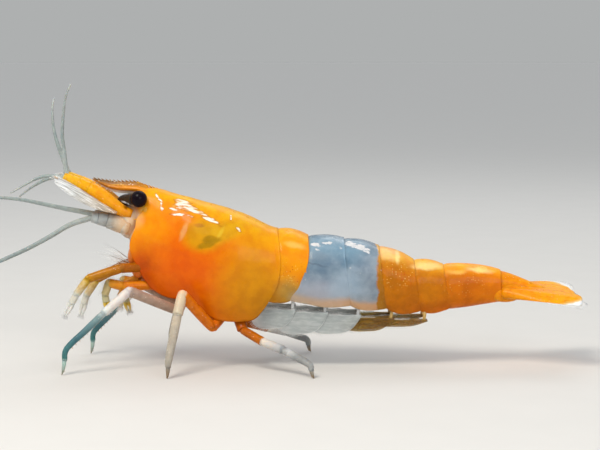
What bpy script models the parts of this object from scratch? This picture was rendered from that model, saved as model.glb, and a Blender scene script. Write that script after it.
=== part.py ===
"""Freshwater aquarium shrimp (Neocaridina davidi, orange with a clear band), life size and still.

Every size below is in millimetres, and MM turns it into Blender's metres.
X runs from the feelers to the tail, Y from the animal's left side to its right, and Z is up.
The drawing's X starts at the back edge of the carapace and its Z at the floor. When the pieces
are made, the whole animal is moved so that the middle of its box is over the origin.
"""
import math

import bmesh
import bpy
from mathutils import Matrix, Vector

MM = 0.001
GAP = 0.08                  # clearance between neighbouring shell pieces
THIN = 0.25                 # half thickness of every feeler, fin and leg tip
SIDES = {"left": -1, "right": 1}

# The shell: (x, z) lines along the back and the belly, and (x, half width) seen from above.
CARAPACE_BACK = [(-7.5, 8.90), (-6.0, 8.87), (-4.9, 8.58), (-3.85, 8.30), (-2.4, 7.87),
                 (-1.6, 7.60), (-0.4, 7.02), (0.0, 6.88)]
CARAPACE_BELLY = [(-7.5, 4.30), (-6.85, 4.30), (-6.3, 3.97), (-5.6, 3.57), (-4.5, 3.38),
                  (-3.85, 2.95), (-3.2, 2.54), (-2.5, 2.40), (-1.75, 2.40), (-1.15, 2.50),
                  (-0.7, 2.90), (-0.3, 3.20)]
BODY_HALF_WIDTH = [(-7.5, 0.90), (-6.0, 1.32), (-4.0, 1.88), (-2.0, 2.10), (0.0, 1.80),
                   (2.5, 1.80), (5.0, 1.60), (6.8, 1.32), (8.3, 1.06), (11.1, 0.70)]
ABDOMEN_BELLY = [(-0.6, 3.30), (0.7, 3.28), (3.3, 3.04), (5.4, 2.87), (6.2, 2.74), (7.4, 2.74),
                 (9.3, 2.92), (10.2, 3.06), (11.1, 3.20)]

# Shell edges seen from the side, as (z, x).
CARAPACE_FRONT = [(3.97, -6.30), (4.45, -6.80), (4.95, -6.88), (5.90, -7.30), (6.25, -7.45),
                  (6.60, -7.12), (7.45, -7.05), (7.75, -6.75), (8.05, -6.46), (8.50, -6.40),
                  (8.87, -6.00)]
CARAPACE_REAR = [(2.50, -1.15), (2.95, -0.72), (3.40, -0.42), (4.10, -0.05), (5.00, 0.15),
                 (6.00, 0.12), (6.88, 0.0)]
FIRST_RING_REAR = [(3.28, 0.38), (3.65, 0.55), (4.05, 0.95), (4.60, 1.22), (5.20, 1.45),
                   (5.80, 1.54), (6.50, 1.52)]
RING_JOINTS = [(0.0, 6.88), (1.52, 6.50), (3.30, 6.30), (5.05, 5.97), (6.78, 5.30),
               (8.25, 5.06), (11.1, 4.78)]   # (x, z) of the notch in front of and behind each ring
RING_ARCH = (0.17, 0.17, 0.22, 0.17, 0.14, 0.17)   # rise of each ring's back between its notches
LAST_RING = 6
LAST_RING_FLATNESS = 0.6    # below 1 its back rises early and runs level
RING_LIP = 0.05             # how far a ring's rear edge overhangs the next ring
PLEURON_SWEEP = 0.50        # how far a side plate's rear edge runs back at the bottom
PLEURON_LOBE = 0.10         # how far each side plate bulges below the belly line
UPPER_ROUNDNESS = 2.1       # exponents of the shell's cross-section: 2 is an ellipse
LOWER_ROUNDNESS = 3.0
CARAPACE_STEPS, CARAPACE_SIDES = 14, 22   # facets along the carapace and round it
RING_STEPS, RING_SIDES = 5, 18            # the same for a ring of the abdomen
EDGE_ROUNDS = 12            # rounds of finding where a curved edge meets the back and belly lines

# The rostrum, a toothed blade: (x, z) of its crest and keel.
ROSTRUM_CREST = [(-9.25, 9.40), (-8.4, 9.24), (-7.4, 9.17), (-7.05, 9.20), (-6.65, 9.06),
                 (-6.1, 8.88)]
ROSTRUM_KEEL = [(-9.25, 9.33), (-8.65, 8.98), (-8.25, 8.78), (-7.4, 8.67), (-6.4, 8.65)]
ROSTRUM_TEETH = 14
TOOTH_HEIGHT = 0.09
TOOTH_FACE = 0.15           # the part of a tooth's pitch that its steep front face takes
CREST_HALF = 0.05           # half widths of the rostrum's crest, keel and shoulder
KEEL_HALF = 0.10
SHOULDER_HALF = 0.33
SHOULDER_DEPTH = 0.35       # how far down the blade its shoulder lies
SHOULDER_SPREAD = 3         # the shoulder is at full width a third of the way back

# The head between the eyes and the feelers: (z, front x) and (z, half width).
HEAD_FRONT = [(6.52, -7.50), (6.75, -7.84), (7.00, -8.02), (7.40, -8.06), (7.75, -7.98),
              (8.02, -7.84), (8.20, -7.50), (8.57, -7.38)]
HEAD_HALF_WIDTH = [(6.52, 0.45), (6.90, 0.74), (7.60, 0.80), (7.90, 0.64), (8.20, 0.40),
                   (8.57, 0.32)]
HEAD_SIDES = 12
HEAD_SQUARENESS = 0.7       # 1 would make its level sections ellipses

EYE_RADIUS = 0.42
EYE_FACETS = (16, 10)
EYE_PLACE = (-6.95, 1.02, 8.35)
STALK_ROUTE = [(-7.66, 0.30, 8.40), (-7.52, 0.54, 8.37), (-7.35, 0.73, 8.35)]
STALK_RADII = (0.18, 0.20, 0.24)

ANTENNULE_ROUTE = [(-8.08, 0.42, 8.00), (-8.45, 0.42, 8.32), (-8.95, 0.43, 8.70),
                   (-9.9, 0.44, 9.18), (-10.6, 0.45, 9.46)]
ANTENNULE_RADII = (0.34, 0.35, 0.35, 0.31, 0.26)
ANTENNA_ROUTE = [(-8.16, 0.50, 7.26), (-8.5, 0.53, 7.36), (-8.9, 0.57, 7.45), (-9.22, 0.60, 7.50)]
ANTENNA_RADII = (0.35, 0.33, 0.30, 0.27)

# Feelers, from root to tip. The two sides wave apart, so each has its own route.
FEELERS = {
    "antennule_flagellum_inner_left": [
        (-10.48, -0.45, 9.84), (-10.58, -0.47, 10.8), (-10.65, -0.52, 11.6), (-10.56, -0.62, 12.6),
        (-10.42, -0.74, 13.45), (-10.15, -0.85, 14.2)],
    "antennule_flagellum_inner_right": [
        (-10.48, 0.45, 9.84), (-10.95, 0.66, 10.75), (-11.27, 0.95, 11.75), (-11.38, 1.25, 12.75),
        (-11.32, 1.5, 13.4)],
    "antennule_flagellum_outer_left": [
        (-10.74, -0.46, 9.46), (-11.35, -0.55, 9.55), (-11.95, -0.7, 9.42), (-12.55, -0.9, 9.1),
        (-13.15, -1.15, 8.75)],
    "antennule_flagellum_outer_right": [
        (-10.74, 0.46, 9.46), (-11.35, 0.6, 9.38), (-11.95, 0.85, 9.15), (-12.55, 1.15, 8.8),
        (-13.15, 1.5, 8.35)],
}
LONG_FEELERS = {
    "antenna_flagellum_left": [
        (-9.34, -0.62, 7.5), (-10.2, -1.15, 7.2), (-11.1, -2.05, 6.7), (-12.1, -3.2, 6.2),
        (-13.5, -4.6, 5.65), (-15.2, -6.0, 5.1), (-17.1, -7.2, 4.6), (-19.1, -8.0, 4.3),
        (-21.1, -8.4, 4.2)],
    "antenna_flagellum_right": [
        (-9.34, 0.62, 7.54), (-10.2, 1.15, 7.66), (-11.2, 2.0, 7.74), (-12.4, 3.1, 7.86),
        (-13.9, 4.5, 7.96), (-15.6, 5.8, 7.9), (-17.4, 6.9, 7.5), (-19.2, 7.7, 6.8),
        (-20.8, 8.2, 5.9)],
}

# Antennal scale: (x, y, z) of its middle line, and its half width there.
SCALE_LINE = [(-8.15, 1.15, 7.75), (-8.8, 1.12, 8.12), (-9.7, 1.08, 8.55), (-10.6, 1.03, 9.02),
              (-11.15, 1.0, 9.32), (-11.38, 0.99, 9.44)]
SCALE_HALF_WIDTHS = (0.24, 0.40, 0.46, 0.40, 0.24, 0.10)
SCALE_TILT = math.radians(60)
BLADE_SIDES = 8             # facets round a scale or a blade of the tail fan
BLADE_TIP = 0.10            # a blade thins to this much more than its half width at the tips

MAXILLIPED_ROUTE = [(-6.98, 0.26, 4.42), (-7.6, 0.26, 4.05), (-7.95, 0.26, 3.4), (-7.9, 0.26, 2.9)]
MAXILLIPED_RADII = (0.24, 0.24, 0.24, 0.23)

# Legs: hip, bends and tip, with the radius at each. Pairs 1 and 2 carry brushes and hang free;
# pairs 3 to 5 stand on the floor.
LEG_RADII = (0.29, 0.30, 0.28, 0.26, 0.25, 0.25)
CLAW_RADII = (0.28, 0.29, 0.28, 0.27, 0.25)
LEGS = {
    "leg_1_left": [(-6.78, -0.82, 3.93), (-7.7, -0.82, 4.08), (-8.4, -0.82, 4.25), (-8.6, -0.82, 3.65),
                   (-8.45, -0.80, 2.80)],
    "leg_1_right": [(-6.78, 0.82, 3.93), (-7.3, 0.82, 4.04), (-7.85, 0.82, 4.18), (-7.82, 0.82, 3.45),
                    (-7.55, 0.82, 2.50)],
    "leg_2_left": [(-7.02, -0.86, 4.86), (-7.75, -1.08, 5.02), (-9.45, -1.30, 4.45), (-10.2, -1.35, 3.5),
                   (-10.75, -1.35, 2.50)],
    "leg_2_right": [(-7.02, 0.86, 4.86), (-7.75, 1.08, 4.96), (-9.25, 1.30, 4.15), (-9.8, 1.30, 3.3),
                    (-10.1, 1.25, 2.25)],
    "leg_3_left": [(-4.75, -0.85, 3.22), (-4.95, -0.95, 2.86), (-7.3, -1.85, 3.98), (-8.5, -2.30, 2.95),
                   (-10.25, -2.85, 1.30), (-10.5, -2.95, 0.0)],
    "leg_3_right": [(-4.75, 0.85, 3.22), (-4.95, 0.95, 2.86), (-7.0, 1.85, 3.82), (-8.1, 2.25, 2.80),
                    (-9.6, 2.75, 1.20), (-9.8, 2.85, 0.0)],
    "leg_4_left": [(-2.85, -0.90, 2.28), (-3.25, -1.35, 2.10), (-4.65, -2.35, 3.88), (-4.85, -2.80, 2.95),
                   (-5.22, -3.70, 0.95), (-5.3, -3.85, 0.0)],
    "leg_4_right": [(-2.85, 0.90, 2.28), (-3.25, 1.35, 2.10), (-4.85, 2.35, 3.82), (-5.1, 2.80, 2.90),
                    (-5.62, 3.60, 0.95), (-5.72, 3.75, 0.0)],
    "leg_5_left": [(-1.95, -0.90, 2.26), (-1.75, -1.15, 1.94), (-0.75, -1.90, 1.48), (0.25, -2.60, 1.20),
                   (1.55, -3.60, 0.66), (1.78, -3.76, 0.0)],
    "leg_5_right": [(-1.95, 0.90, 2.26), (-1.75, 1.15, 1.94), (-0.60, 1.90, 1.54), (0.35, 2.50, 1.24),
                    (1.45, 3.30, 0.68), (1.66, 3.45, 0.0)],
}
KNEE_CURVE = 0.30           # how far from a joint its bend begins
TOE_DROP = 0.30             # the last stretch of a walking leg, straight down to its flat

# Pleopods, the swimming legs: a short stem under each ring and a leaf swept forward from it.
PLEOPOD_STEMS = (0.72, 2.33, 3.98, 5.63, 7.28)
PLEOPOD_REACH = (1.84, 1.53, 1.56, 1.56, 1.56)
PLEOPOD_LOW = (1.95, 1.68, 1.70, 1.82, 2.05)      # lowest z of each leaf
PLEOPOD_Y = 0.75
PLEOPOD_HALF_THICKNESS = 0.27
STEM_HALF_WIDTH = 0.19
STEM_LENGTH = 0.36
# The leaf's outline from its rear to its front and back along the bottom: shares of the leaf's
# length from its tip, and of its height from its shoulder down.
LEAF = [(0.55, 0.0), (0.20, 0.12), (0.0, 0.45), (0.08, 0.75), (0.40, 1.0), (0.75, 1.0)]
LEAF_HEEL = 0.70            # how far down the leaf its rear edge begins
STEM_STEP = 0.08            # the stem's front edge stops this far above the shoulder

# Tail fan: (x, y, z) of each blade's middle line with its half width there.
TELSON = [(11.2, 0.0, 4.44, 0.52), (12.0, 0.0, 4.22, 0.46), (12.85, 0.0, 4.00, 0.38),
          (13.7, 0.0, 3.82, 0.30), (14.45, 0.0, 3.66, 0.20), (14.7, 0.0, 3.60, 0.09)]
UROPOD_INNER = [(11.2, 0.23, 3.78, 0.16), (12.2, 0.38, 3.60, 0.28), (13.2, 0.45, 3.42, 0.34),
                (14.2, 0.50, 3.24, 0.36), (14.72, 0.52, 3.16, 0.22), (14.9, 0.53, 3.13, 0.09)]
UROPOD_OUTER = [(11.2, 0.62, 3.46, 0.17), (12.2, 1.02, 3.48, 0.32), (13.2, 1.32, 3.50, 0.46),
                (14.2, 1.48, 3.38, 0.52), (15.0, 1.55, 3.20, 0.38), (15.38, 1.58, 3.10, 0.12)]
FAN_ROLL = math.radians(7)  # the fan leans, so that its right side stands higher

ORANGE = (0.86, 0.29, 0.02)
GOLD = (0.90, 0.52, 0.03)
CLEAR = (0.36, 0.48, 0.58)
PALE = (0.48, 0.47, 0.44)
BLACK = (0.01, 0.01, 0.02)
SHELL_ROUGHNESS = 0.35
EYE_ROUGHNESS = 0.10
RING_COLOURS = (ORANGE, CLEAR, CLEAR, GOLD, GOLD, ORANGE)


# ---------------------------------------------------------------- the scene and its pieces

def clear_scene():
    for item in list(bpy.data.objects):
        bpy.data.objects.remove(item, do_unlink=True)


def make_material(name, colour, roughness):
    material = bpy.data.materials.new(name)
    material.use_nodes = True
    shader = material.node_tree.nodes["Principled BSDF"]
    shader.inputs["Base Color"].default_value = (*colour, 1.0)
    shader.inputs["Roughness"].default_value = roughness
    shader.inputs["Metallic"].default_value = 0.0
    return material


def add_piece(name, data, colour, roughness=SHELL_ROUGHNESS):
    """Make a named object from a mesh or a curve, with its own material, carried by the stance."""
    piece = bpy.data.objects.new(name, data)
    data.materials.append(make_material(name, colour, roughness))
    bpy.data.collections["shrimp"].objects.link(piece)
    piece.parent = bpy.data.objects["stance"]
    return piece


def mirrored(points, side):
    return [(x, y * side, z) for x, y, z in points]


# ---------------------------------------------------------------- lines and sections

def read_line(points, at):
    """The value at one place on a smooth line through (place, value) points."""
    if at <= points[0][0]:
        return points[0][1]
    if at >= points[-1][0]:
        return points[-1][1]
    last = len(points) - 1
    i = max(k for k in range(last) if points[k][0] <= at)
    (x0, y0), (x1, y1) = points[i], points[i + 1]
    before, after = points[max(i - 1, 0)], points[min(i + 2, last)]
    slope_0 = (y1 - before[1]) / (x1 - before[0])
    slope_1 = (after[1] - y0) / (after[0] - x0)
    width = x1 - x0
    t = (at - x0) / width
    return ((2 * t**3 - 3 * t**2 + 1) * y0 + (t**3 - 2 * t**2 + t) * width * slope_0
            + (3 * t**2 - 2 * t**3) * y1 + (t**3 - t**2) * width * slope_1)


def smooth_route(points):
    """Points along a smooth curve through the route's own points."""
    route = [Vector(p) for p in points]
    padded = [2 * route[0] - route[1]] + route + [2 * route[-1] - route[-2]]
    result = []
    for i in range(1, len(padded) - 2):
        a, b, c, d = padded[i - 1:i + 3]
        for t in (0.0, 0.5):
            result.append(0.5 * (2 * b + (c - a) * t + (2 * a - 5 * b + 4 * c - d) * t**2
                                 + (3 * b - a - 3 * c + d) * t**3))
    result.append(route[-1])
    return result


def jointed_route(points, radii, bend):
    """Straight lengths with a short curve at each joint, as (point, radius) pairs."""
    joints = [Vector(p) for p in points]
    result = [(joints[0], radii[0])]
    for before, here, after, radius in zip(joints, joints[1:], joints[2:], radii[1:]):
        start = here + (before - here).normalized() * min(bend, (before - here).length / 2.2)
        end = here + (after - here).normalized() * min(bend, (after - here).length / 2.2)
        for t in (0.0, 0.5, 1.0):
            result.append(((1 - t)**2 * start + 2 * t * (1 - t) * here + t**2 * end, radius))
    result.append((joints[-1], radii[-1]))
    return result


def signed_power(value, power):
    return math.copysign(abs(value)**power, value)


def section(count):
    """Half widths and heights, from 1 at the top to -1 at the bottom, round one shell section."""
    points = []
    for k in range(count):
        angle = 2 * math.pi * k / count
        power = 2 / (UPPER_ROUNDNESS if math.cos(angle) > 0 else LOWER_ROUNDNESS)
        points.append((signed_power(math.sin(angle), power), signed_power(math.cos(angle), power)))
    return points


# ---------------------------------------------------------------- ways of making a solid

def loft(name, rings, colour):
    """A closed solid through rings of points, with a pointed fan over each end."""
    mesh = bmesh.new()
    loops = [[mesh.verts.new(Vector(p) * MM) for p in ring] for ring in rings]
    for low, high in zip(loops, loops[1:]):
        for k in range(len(low)):
            j = (k + 1) % len(low)
            mesh.faces.new((low[k], low[j], high[j], high[k]))
    for loop, flip in ((loops[0], True), (loops[-1], False)):
        middle = mesh.verts.new(sum((v.co for v in loop), Vector()) / len(loop))
        for k in range(len(loop)):
            pair = (loop[k], loop[(k + 1) % len(loop)])
            mesh.faces.new((middle, pair[1], pair[0]) if flip else (middle, *pair))
    bmesh.ops.recalc_face_normals(mesh, faces=mesh.faces)
    data = bpy.data.meshes.new(name)
    mesh.to_mesh(data)
    mesh.free()
    data.shade_smooth()
    data.set_sharp_from_angle(angle=math.radians(50))
    return add_piece(name, data, colour)


def tube(name, stations, colour):
    """A round tube along (point, radius) stations, made as a curve with closed ends."""
    curve = bpy.data.curves.new(name, "CURVE")
    curve.dimensions = "3D"
    curve.bevel_depth = MM
    curve.bevel_resolution = 2
    curve.use_fill_caps = True
    spline = curve.splines.new("POLY")
    spline.points.add(len(stations) - 1)
    for point, (place, radius) in zip(spline.points, stations):
        point.co = (*(Vector(place) * MM), 1.0)
        point.radius = radius
    return add_piece(name, curve, colour)


def blade(name, line, half_widths, tilt, colour, roll=0.0):
    """A thin leaf along a line. Its width lies level at tilt 0 and stands up as the tilt grows."""
    centres = [Vector(p) for p in line]
    rings = []
    for i, (centre, wide) in enumerate(zip(centres, half_widths)):
        ahead = centres[min(i + 1, len(centres) - 1)] - centres[max(i - 1, 0)]
        level = ahead.cross(Vector((0, 0, 1))).normalized()
        across = Matrix.Rotation(tilt, 3, ahead.normalized()) @ level
        up = across.cross(ahead).normalized()
        thick = min(THIN, BLADE_TIP + wide)
        ring = []
        for k in range(BLADE_SIDES):
            angle = 2 * math.pi * (k + 0.5) / BLADE_SIDES
            widen = math.cos(math.pi / BLADE_SIDES)   # brings the flats, not the corners, to full size
            point = centre + (across * wide * math.cos(angle) + up * thick * math.sin(angle)) / widen
            ring.append((point.x, point.y, point.z + point.y * math.tan(roll)))
        rings.append(ring)
    return loft(name, rings, colour)


def shell_rings(front, rear, back, belly, steps, count, flare=0.0):
    """Rings between two edges that curve with height, on the back and belly lines."""
    rings = []
    for s in [k / steps for k in range(steps + 1)]:
        ring = []
        for wide, high in section(count):
            z = (belly(0.0) + back(0.0)) / 2
            for _ in range(EDGE_ROUNDS):
                x = front(z) * (1 - s) + rear(z) * s
                z = belly(x) + (back(x) - belly(x)) * (high + 1) / 2
            half = read_line(BODY_HALF_WIDTH, x) + flare * s
            ring.append((x, half * wide, z))
        rings.append(ring)
    return rings


# ---------------------------------------------------------------- the animal's own pieces

def make_carapace():
    rings = shell_rings(
        front=lambda z: read_line(CARAPACE_FRONT, z),
        rear=lambda z: read_line(CARAPACE_REAR, z),
        back=lambda x: read_line(CARAPACE_BACK, x),
        belly=lambda x: read_line(CARAPACE_BELLY, x),
        steps=CARAPACE_STEPS,
        count=CARAPACE_SIDES,
    )
    loft("carapace", rings, ORANGE)


def ring_edge(number):
    """The edge behind abdomen ring `number`, as a function of z; number 0 is the carapace's."""
    if number == 0:
        return lambda z: read_line(CARAPACE_REAR, z)
    if number == 1:
        return lambda z: read_line(FIRST_RING_REAR, z)
    x, top = RING_JOINTS[number]
    low = read_line(ABDOMEN_BELLY, x)
    sweep = PLEURON_SWEEP if number < LAST_RING else 0.0
    return lambda z: x + sweep * min(max((top - z) / (top - low), 0.0), 1.0)**2


def make_abdomen_ring(number):
    """One ring of the abdomen, arched over the back and lobed where its side plates hang."""
    (x0, z0), (x1, z1) = RING_JOINTS[number - 1], RING_JOINTS[number]

    def along(x):
        return min(max((x - x0) / (x1 - x0), 0.0), 1.0)

    def back(x):
        s = along(x)
        arch = math.sin(math.pi * s)**(LAST_RING_FLATNESS if number == LAST_RING else 1.0)
        return z0 + (z1 - z0) * s + RING_ARCH[number - 1] * arch + RING_LIP * s

    def belly(x):
        lobe = 0.0 if number == LAST_RING else PLEURON_LOBE
        return read_line(ABDOMEN_BELLY, x) - lobe * math.sin(math.pi * along(x))

    front, rear = ring_edge(number - 1), ring_edge(number)
    rings = shell_rings(
        front=lambda z: front(z) + GAP,
        rear=rear,
        back=back,
        belly=belly,
        steps=RING_STEPS,
        count=RING_SIDES,
        flare=RING_LIP if number < LAST_RING else 0.0,
    )
    loft(f"abdomen_{number}", rings, RING_COLOURS[number - 1])


def make_rostrum():
    """A blade with forward-pointing teeth along its crest, wedge-shaped in section."""
    start, end = ROSTRUM_CREST[0][0], ROSTRUM_CREST[-1][0]
    pitch = (end - start) / (ROSTRUM_TEETH + 1)
    stations = [(start, 0.0)]
    for k in range(1, ROSTRUM_TEETH + 1):
        stations += [(start + (k - TOOTH_FACE) * pitch, 0.0), (start + k * pitch, TOOTH_HEIGHT)]
    stations.append((end, 0.0))
    rings = []
    for x, tooth in stations:
        share = (x - start) / (end - start)
        crest = read_line(ROSTRUM_CREST, x) + tooth
        keel = read_line(ROSTRUM_KEEL, x)
        shoulder = crest - tooth - SHOULDER_DEPTH * (crest - tooth - keel)
        side = KEEL_HALF + (SHOULDER_HALF - KEEL_HALF) * min(1.0, share * SHOULDER_SPREAD)
        shape = [(CREST_HALF, crest), (side, shoulder), (KEEL_HALF, keel)]
        shape += [(-y, z) for y, z in reversed(shape)]
        rings.append([(min(x, read_line(CARAPACE_FRONT, z) - GAP), y, z) for y, z in shape])
    loft("rostrum", rings, GOLD)


def make_head():
    """The block of flesh that carries the eyestalks and feelers, in front of the carapace's edge."""
    rings = []
    for z, front in HEAD_FRONT:
        rear = read_line(CARAPACE_FRONT, z) - GAP
        half = read_line(HEAD_HALF_WIDTH, z)
        middle, reach = (front + rear) / 2, (rear - front) / 2
        ring = []
        for k in range(HEAD_SIDES):
            angle = 2 * math.pi * k / HEAD_SIDES
            wide = signed_power(math.sin(angle), HEAD_SQUARENESS)
            long = signed_power(math.cos(angle), HEAD_SQUARENESS)
            ring.append((middle + reach * long, half * wide, z))
        rings.append(ring)
    loft("head", rings, PALE)


def make_eye(label, side):
    x, y, z = EYE_PLACE
    round_it, up_it = EYE_FACETS
    bpy.ops.mesh.primitive_uv_sphere_add(segments=round_it, ring_count=up_it, radius=EYE_RADIUS * MM)
    ball = bpy.context.object.data
    bpy.data.objects.remove(bpy.context.object, do_unlink=True)
    ball.name = f"eye_{label}"
    ball.shade_smooth()
    eye = add_piece(f"eye_{label}", ball, BLACK, EYE_ROUGHNESS)
    eye.location = Vector((x, y * side, z)) * MM
    tube(f"eyestalk_{label}", list(zip(mirrored(STALK_ROUTE, side), STALK_RADII)), PALE)


def make_feeler_bases(label, side):
    tube(f"antennule_peduncle_{label}", list(zip(mirrored(ANTENNULE_ROUTE, side), ANTENNULE_RADII)), GOLD)
    tube(f"antenna_peduncle_{label}", list(zip(mirrored(ANTENNA_ROUTE, side), ANTENNA_RADII)), PALE)
    scale = mirrored(SCALE_LINE, side)
    blade(f"antennal_scale_{label}", scale, SCALE_HALF_WIDTHS, side * SCALE_TILT, PALE)


def make_feelers():
    for name, route in FEELERS.items():
        tube(name, [(p, THIN) for p in smooth_route(route)], PALE)
    for name, route in LONG_FEELERS.items():
        line = smooth_route(route)
        half = len(line) // 2
        step = (line[half + 1] - line[half]).normalized()
        second = [line[half] + step * GAP] + line[half + 1:]
        tube(f"{name}_1", [(p, THIN) for p in line[:half + 1]], PALE)
        tube(f"{name}_2", [(p, THIN) for p in second], PALE)


def make_legs():
    for name, joints in LEGS.items():
        walks = joints[-1][2] == 0.0
        if walks:
            x, y, _ = joints[-1]
            joints = joints[:-1] + [(x, y, TOE_DROP), (x, y, 0.0)]
        radii = (LEG_RADII + LEG_RADII[-1:]) if walks else CLAW_RADII
        tube(name, jointed_route(joints, radii, KNEE_CURVE), ORANGE)
    for label, side in SIDES.items():
        stations = jointed_route(mirrored(MAXILLIPED_ROUTE, side), MAXILLIPED_RADII, KNEE_CURVE)
        tube(f"maxilliped_{label}", stations, PALE)


def pleopod_outline(stem, reach, low):
    """A pleopod's outline from the side, as (x, z): the stem's top and front, then the leaf."""
    top = read_line(ABDOMEN_BELLY, stem) - PLEURON_LOBE - GAP
    shoulder = top - STEM_LENGTH
    front, rear = stem - STEM_HALF_WIDTH, stem + STEM_HALF_WIDTH
    tall = shoulder - low
    outline = [(rear, top), (front, top), (front, shoulder + STEM_STEP)]
    outline += [(rear - reach * (1 - along), shoulder - tall * down) for along, down in LEAF]
    outline.append((rear, shoulder - tall * LEAF_HEEL))
    return outline


def make_pleopods(label, side):
    sizes = zip(PLEOPOD_STEMS, PLEOPOD_REACH, PLEOPOD_LOW)
    for number, (stem, reach, low) in enumerate(sizes, start=1):
        name = f"pleopod_{number}_{label}"
        curve = bpy.data.curves.new(name, "CURVE")
        curve.dimensions = "2D"
        curve.fill_mode = "BOTH"
        curve.extrude = PLEOPOD_HALF_THICKNESS * MM
        spline = curve.splines.new("POLY")
        outline = pleopod_outline(stem, reach, low)
        spline.points.add(len(outline) - 1)
        for point, (x, z) in zip(spline.points, outline):
            point.co = (x * MM, z * MM, 0.0, 1.0)
        spline.use_cyclic_u = True
        leaf = add_piece(name, curve, PALE)
        leaf.location.y = PLEOPOD_Y * side * MM
        leaf.rotation_euler.x = math.radians(90)


def make_tail_fan():
    def fan_blade(name, stations, side):
        line = mirrored([s[:3] for s in stations], side)
        blade(name, line, [s[3] for s in stations], 0.0, GOLD, roll=FAN_ROLL)

    fan_blade("telson", TELSON, 1)
    for label, side in SIDES.items():
        fan_blade(f"uropod_inner_{label}", UROPOD_INNER, side)
        fan_blade(f"uropod_outer_{label}", UROPOD_OUTER, side)


def centre_on_origin(stance):
    """Move the whole animal so that its box is centred over the origin, with its feet at z = 0."""
    bpy.context.view_layer.update()
    graph = bpy.context.evaluated_depsgraph_get()
    corners = []
    for piece in bpy.data.collections["shrimp"].objects:
        if piece.type in {"MESH", "CURVE"}:
            shape = piece.evaluated_get(graph)
            corners += [shape.matrix_world @ v.co for v in shape.to_mesh().vertices]
            shape.to_mesh_clear()
    for axis in (0, 1):
        values = [corner[axis] for corner in corners]
        stance.location[axis] = -(min(values) + max(values)) / 2


def main():
    clear_scene()
    collection = bpy.data.collections.new("shrimp")
    bpy.context.scene.collection.children.link(collection)
    stance = bpy.data.objects.new("stance", None)
    collection.objects.link(stance)

    make_carapace()
    for number in range(1, LAST_RING + 1):
        make_abdomen_ring(number)
    make_rostrum()
    make_head()
    for label, side in SIDES.items():
        make_eye(label, side)
        make_feeler_bases(label, side)
        make_pleopods(label, side)
    make_feelers()
    make_legs()
    make_tail_fan()
    centre_on_origin(stance)


main()
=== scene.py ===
import itertools
import math
import random

import bmesh
import bpy
from mathutils import Euler, Matrix, Vector, noise


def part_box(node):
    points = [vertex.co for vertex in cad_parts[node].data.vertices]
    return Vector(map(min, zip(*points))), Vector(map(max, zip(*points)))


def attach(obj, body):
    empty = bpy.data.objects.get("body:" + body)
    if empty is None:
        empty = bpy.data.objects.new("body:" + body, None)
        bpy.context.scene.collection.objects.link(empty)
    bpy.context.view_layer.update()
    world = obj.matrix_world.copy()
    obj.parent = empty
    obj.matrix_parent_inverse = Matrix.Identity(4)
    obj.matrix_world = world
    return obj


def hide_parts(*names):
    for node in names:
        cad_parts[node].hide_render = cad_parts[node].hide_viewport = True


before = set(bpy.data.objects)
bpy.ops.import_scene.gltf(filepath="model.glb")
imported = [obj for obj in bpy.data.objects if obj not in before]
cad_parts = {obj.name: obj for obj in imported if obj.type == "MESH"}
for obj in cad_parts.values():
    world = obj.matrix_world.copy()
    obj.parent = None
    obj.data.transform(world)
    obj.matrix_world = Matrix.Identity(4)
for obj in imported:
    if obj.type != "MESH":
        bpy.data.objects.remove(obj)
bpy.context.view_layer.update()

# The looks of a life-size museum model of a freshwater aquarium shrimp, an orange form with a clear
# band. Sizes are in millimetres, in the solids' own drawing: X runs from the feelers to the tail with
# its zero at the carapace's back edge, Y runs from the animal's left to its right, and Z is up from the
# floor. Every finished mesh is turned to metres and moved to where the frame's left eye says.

MM = 0.001
EYE_LEFT = Vector((-6.95, -1.02, 8.35))
eye_low, eye_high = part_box("eye_left")
ORIGIN = (Vector(eye_low) + Vector(eye_high)) / 2 - EYE_LEFT * MM
TO_FRAME = Matrix.Translation(ORIGIN) @ Matrix.Scale(MM, 4)
SIDES = {"left": -1, "right": 1}
random.seed(7)

# The shell: (x, z) lines along the back and the belly, (x, half width) seen from above, and (z, x)
# lines down the edges of the plates.
CARAPACE_BACK = [(-7.5, 8.90), (-6.0, 8.87), (-4.9, 8.58), (-3.85, 8.30), (-2.4, 7.87),
                 (-1.6, 7.60), (-0.4, 7.02), (0.0, 6.88)]
CARAPACE_BELLY = [(-7.5, 4.30), (-6.85, 4.30), (-6.3, 3.97), (-5.6, 3.57), (-4.5, 3.38),
                  (-3.85, 2.95), (-3.2, 2.54), (-2.5, 2.40), (-1.75, 2.40), (-1.15, 2.50),
                  (-0.7, 2.90), (-0.3, 3.20)]
BODY_HALF_WIDTH = [(-7.5, 0.90), (-6.0, 1.32), (-4.0, 1.88), (-2.0, 2.10), (0.0, 1.80),
                   (2.5, 1.80), (5.0, 1.60), (6.8, 1.32), (8.3, 1.06), (11.1, 0.70)]
ABDOMEN_BELLY = [(-0.6, 3.30), (0.7, 3.28), (3.3, 3.04), (5.4, 2.87), (6.2, 2.74), (7.4, 2.74),
                 (9.3, 2.92), (10.2, 3.06), (11.1, 3.20)]
CARAPACE_FRONT = [(3.97, -6.30), (4.45, -6.66), (4.95, -6.92), (5.50, -7.20), (6.00, -7.34),
                  (6.45, -7.28), (7.00, -7.05), (7.45, -6.98), (7.75, -6.76), (8.05, -6.56),
                  (8.45, -6.58), (8.66, -6.78), (8.87, -7.05)]
CARAPACE_REAR = [(2.50, -1.15), (2.95, -0.72), (3.40, -0.42), (4.10, -0.05), (5.00, 0.15),
                 (6.00, 0.12), (6.88, 0.0)]
FIRST_RING_REAR = [(3.28, 0.38), (3.65, 0.55), (4.05, 0.95), (4.60, 1.22), (5.20, 1.45),
                   (5.80, 1.54), (6.50, 1.52)]
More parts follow.
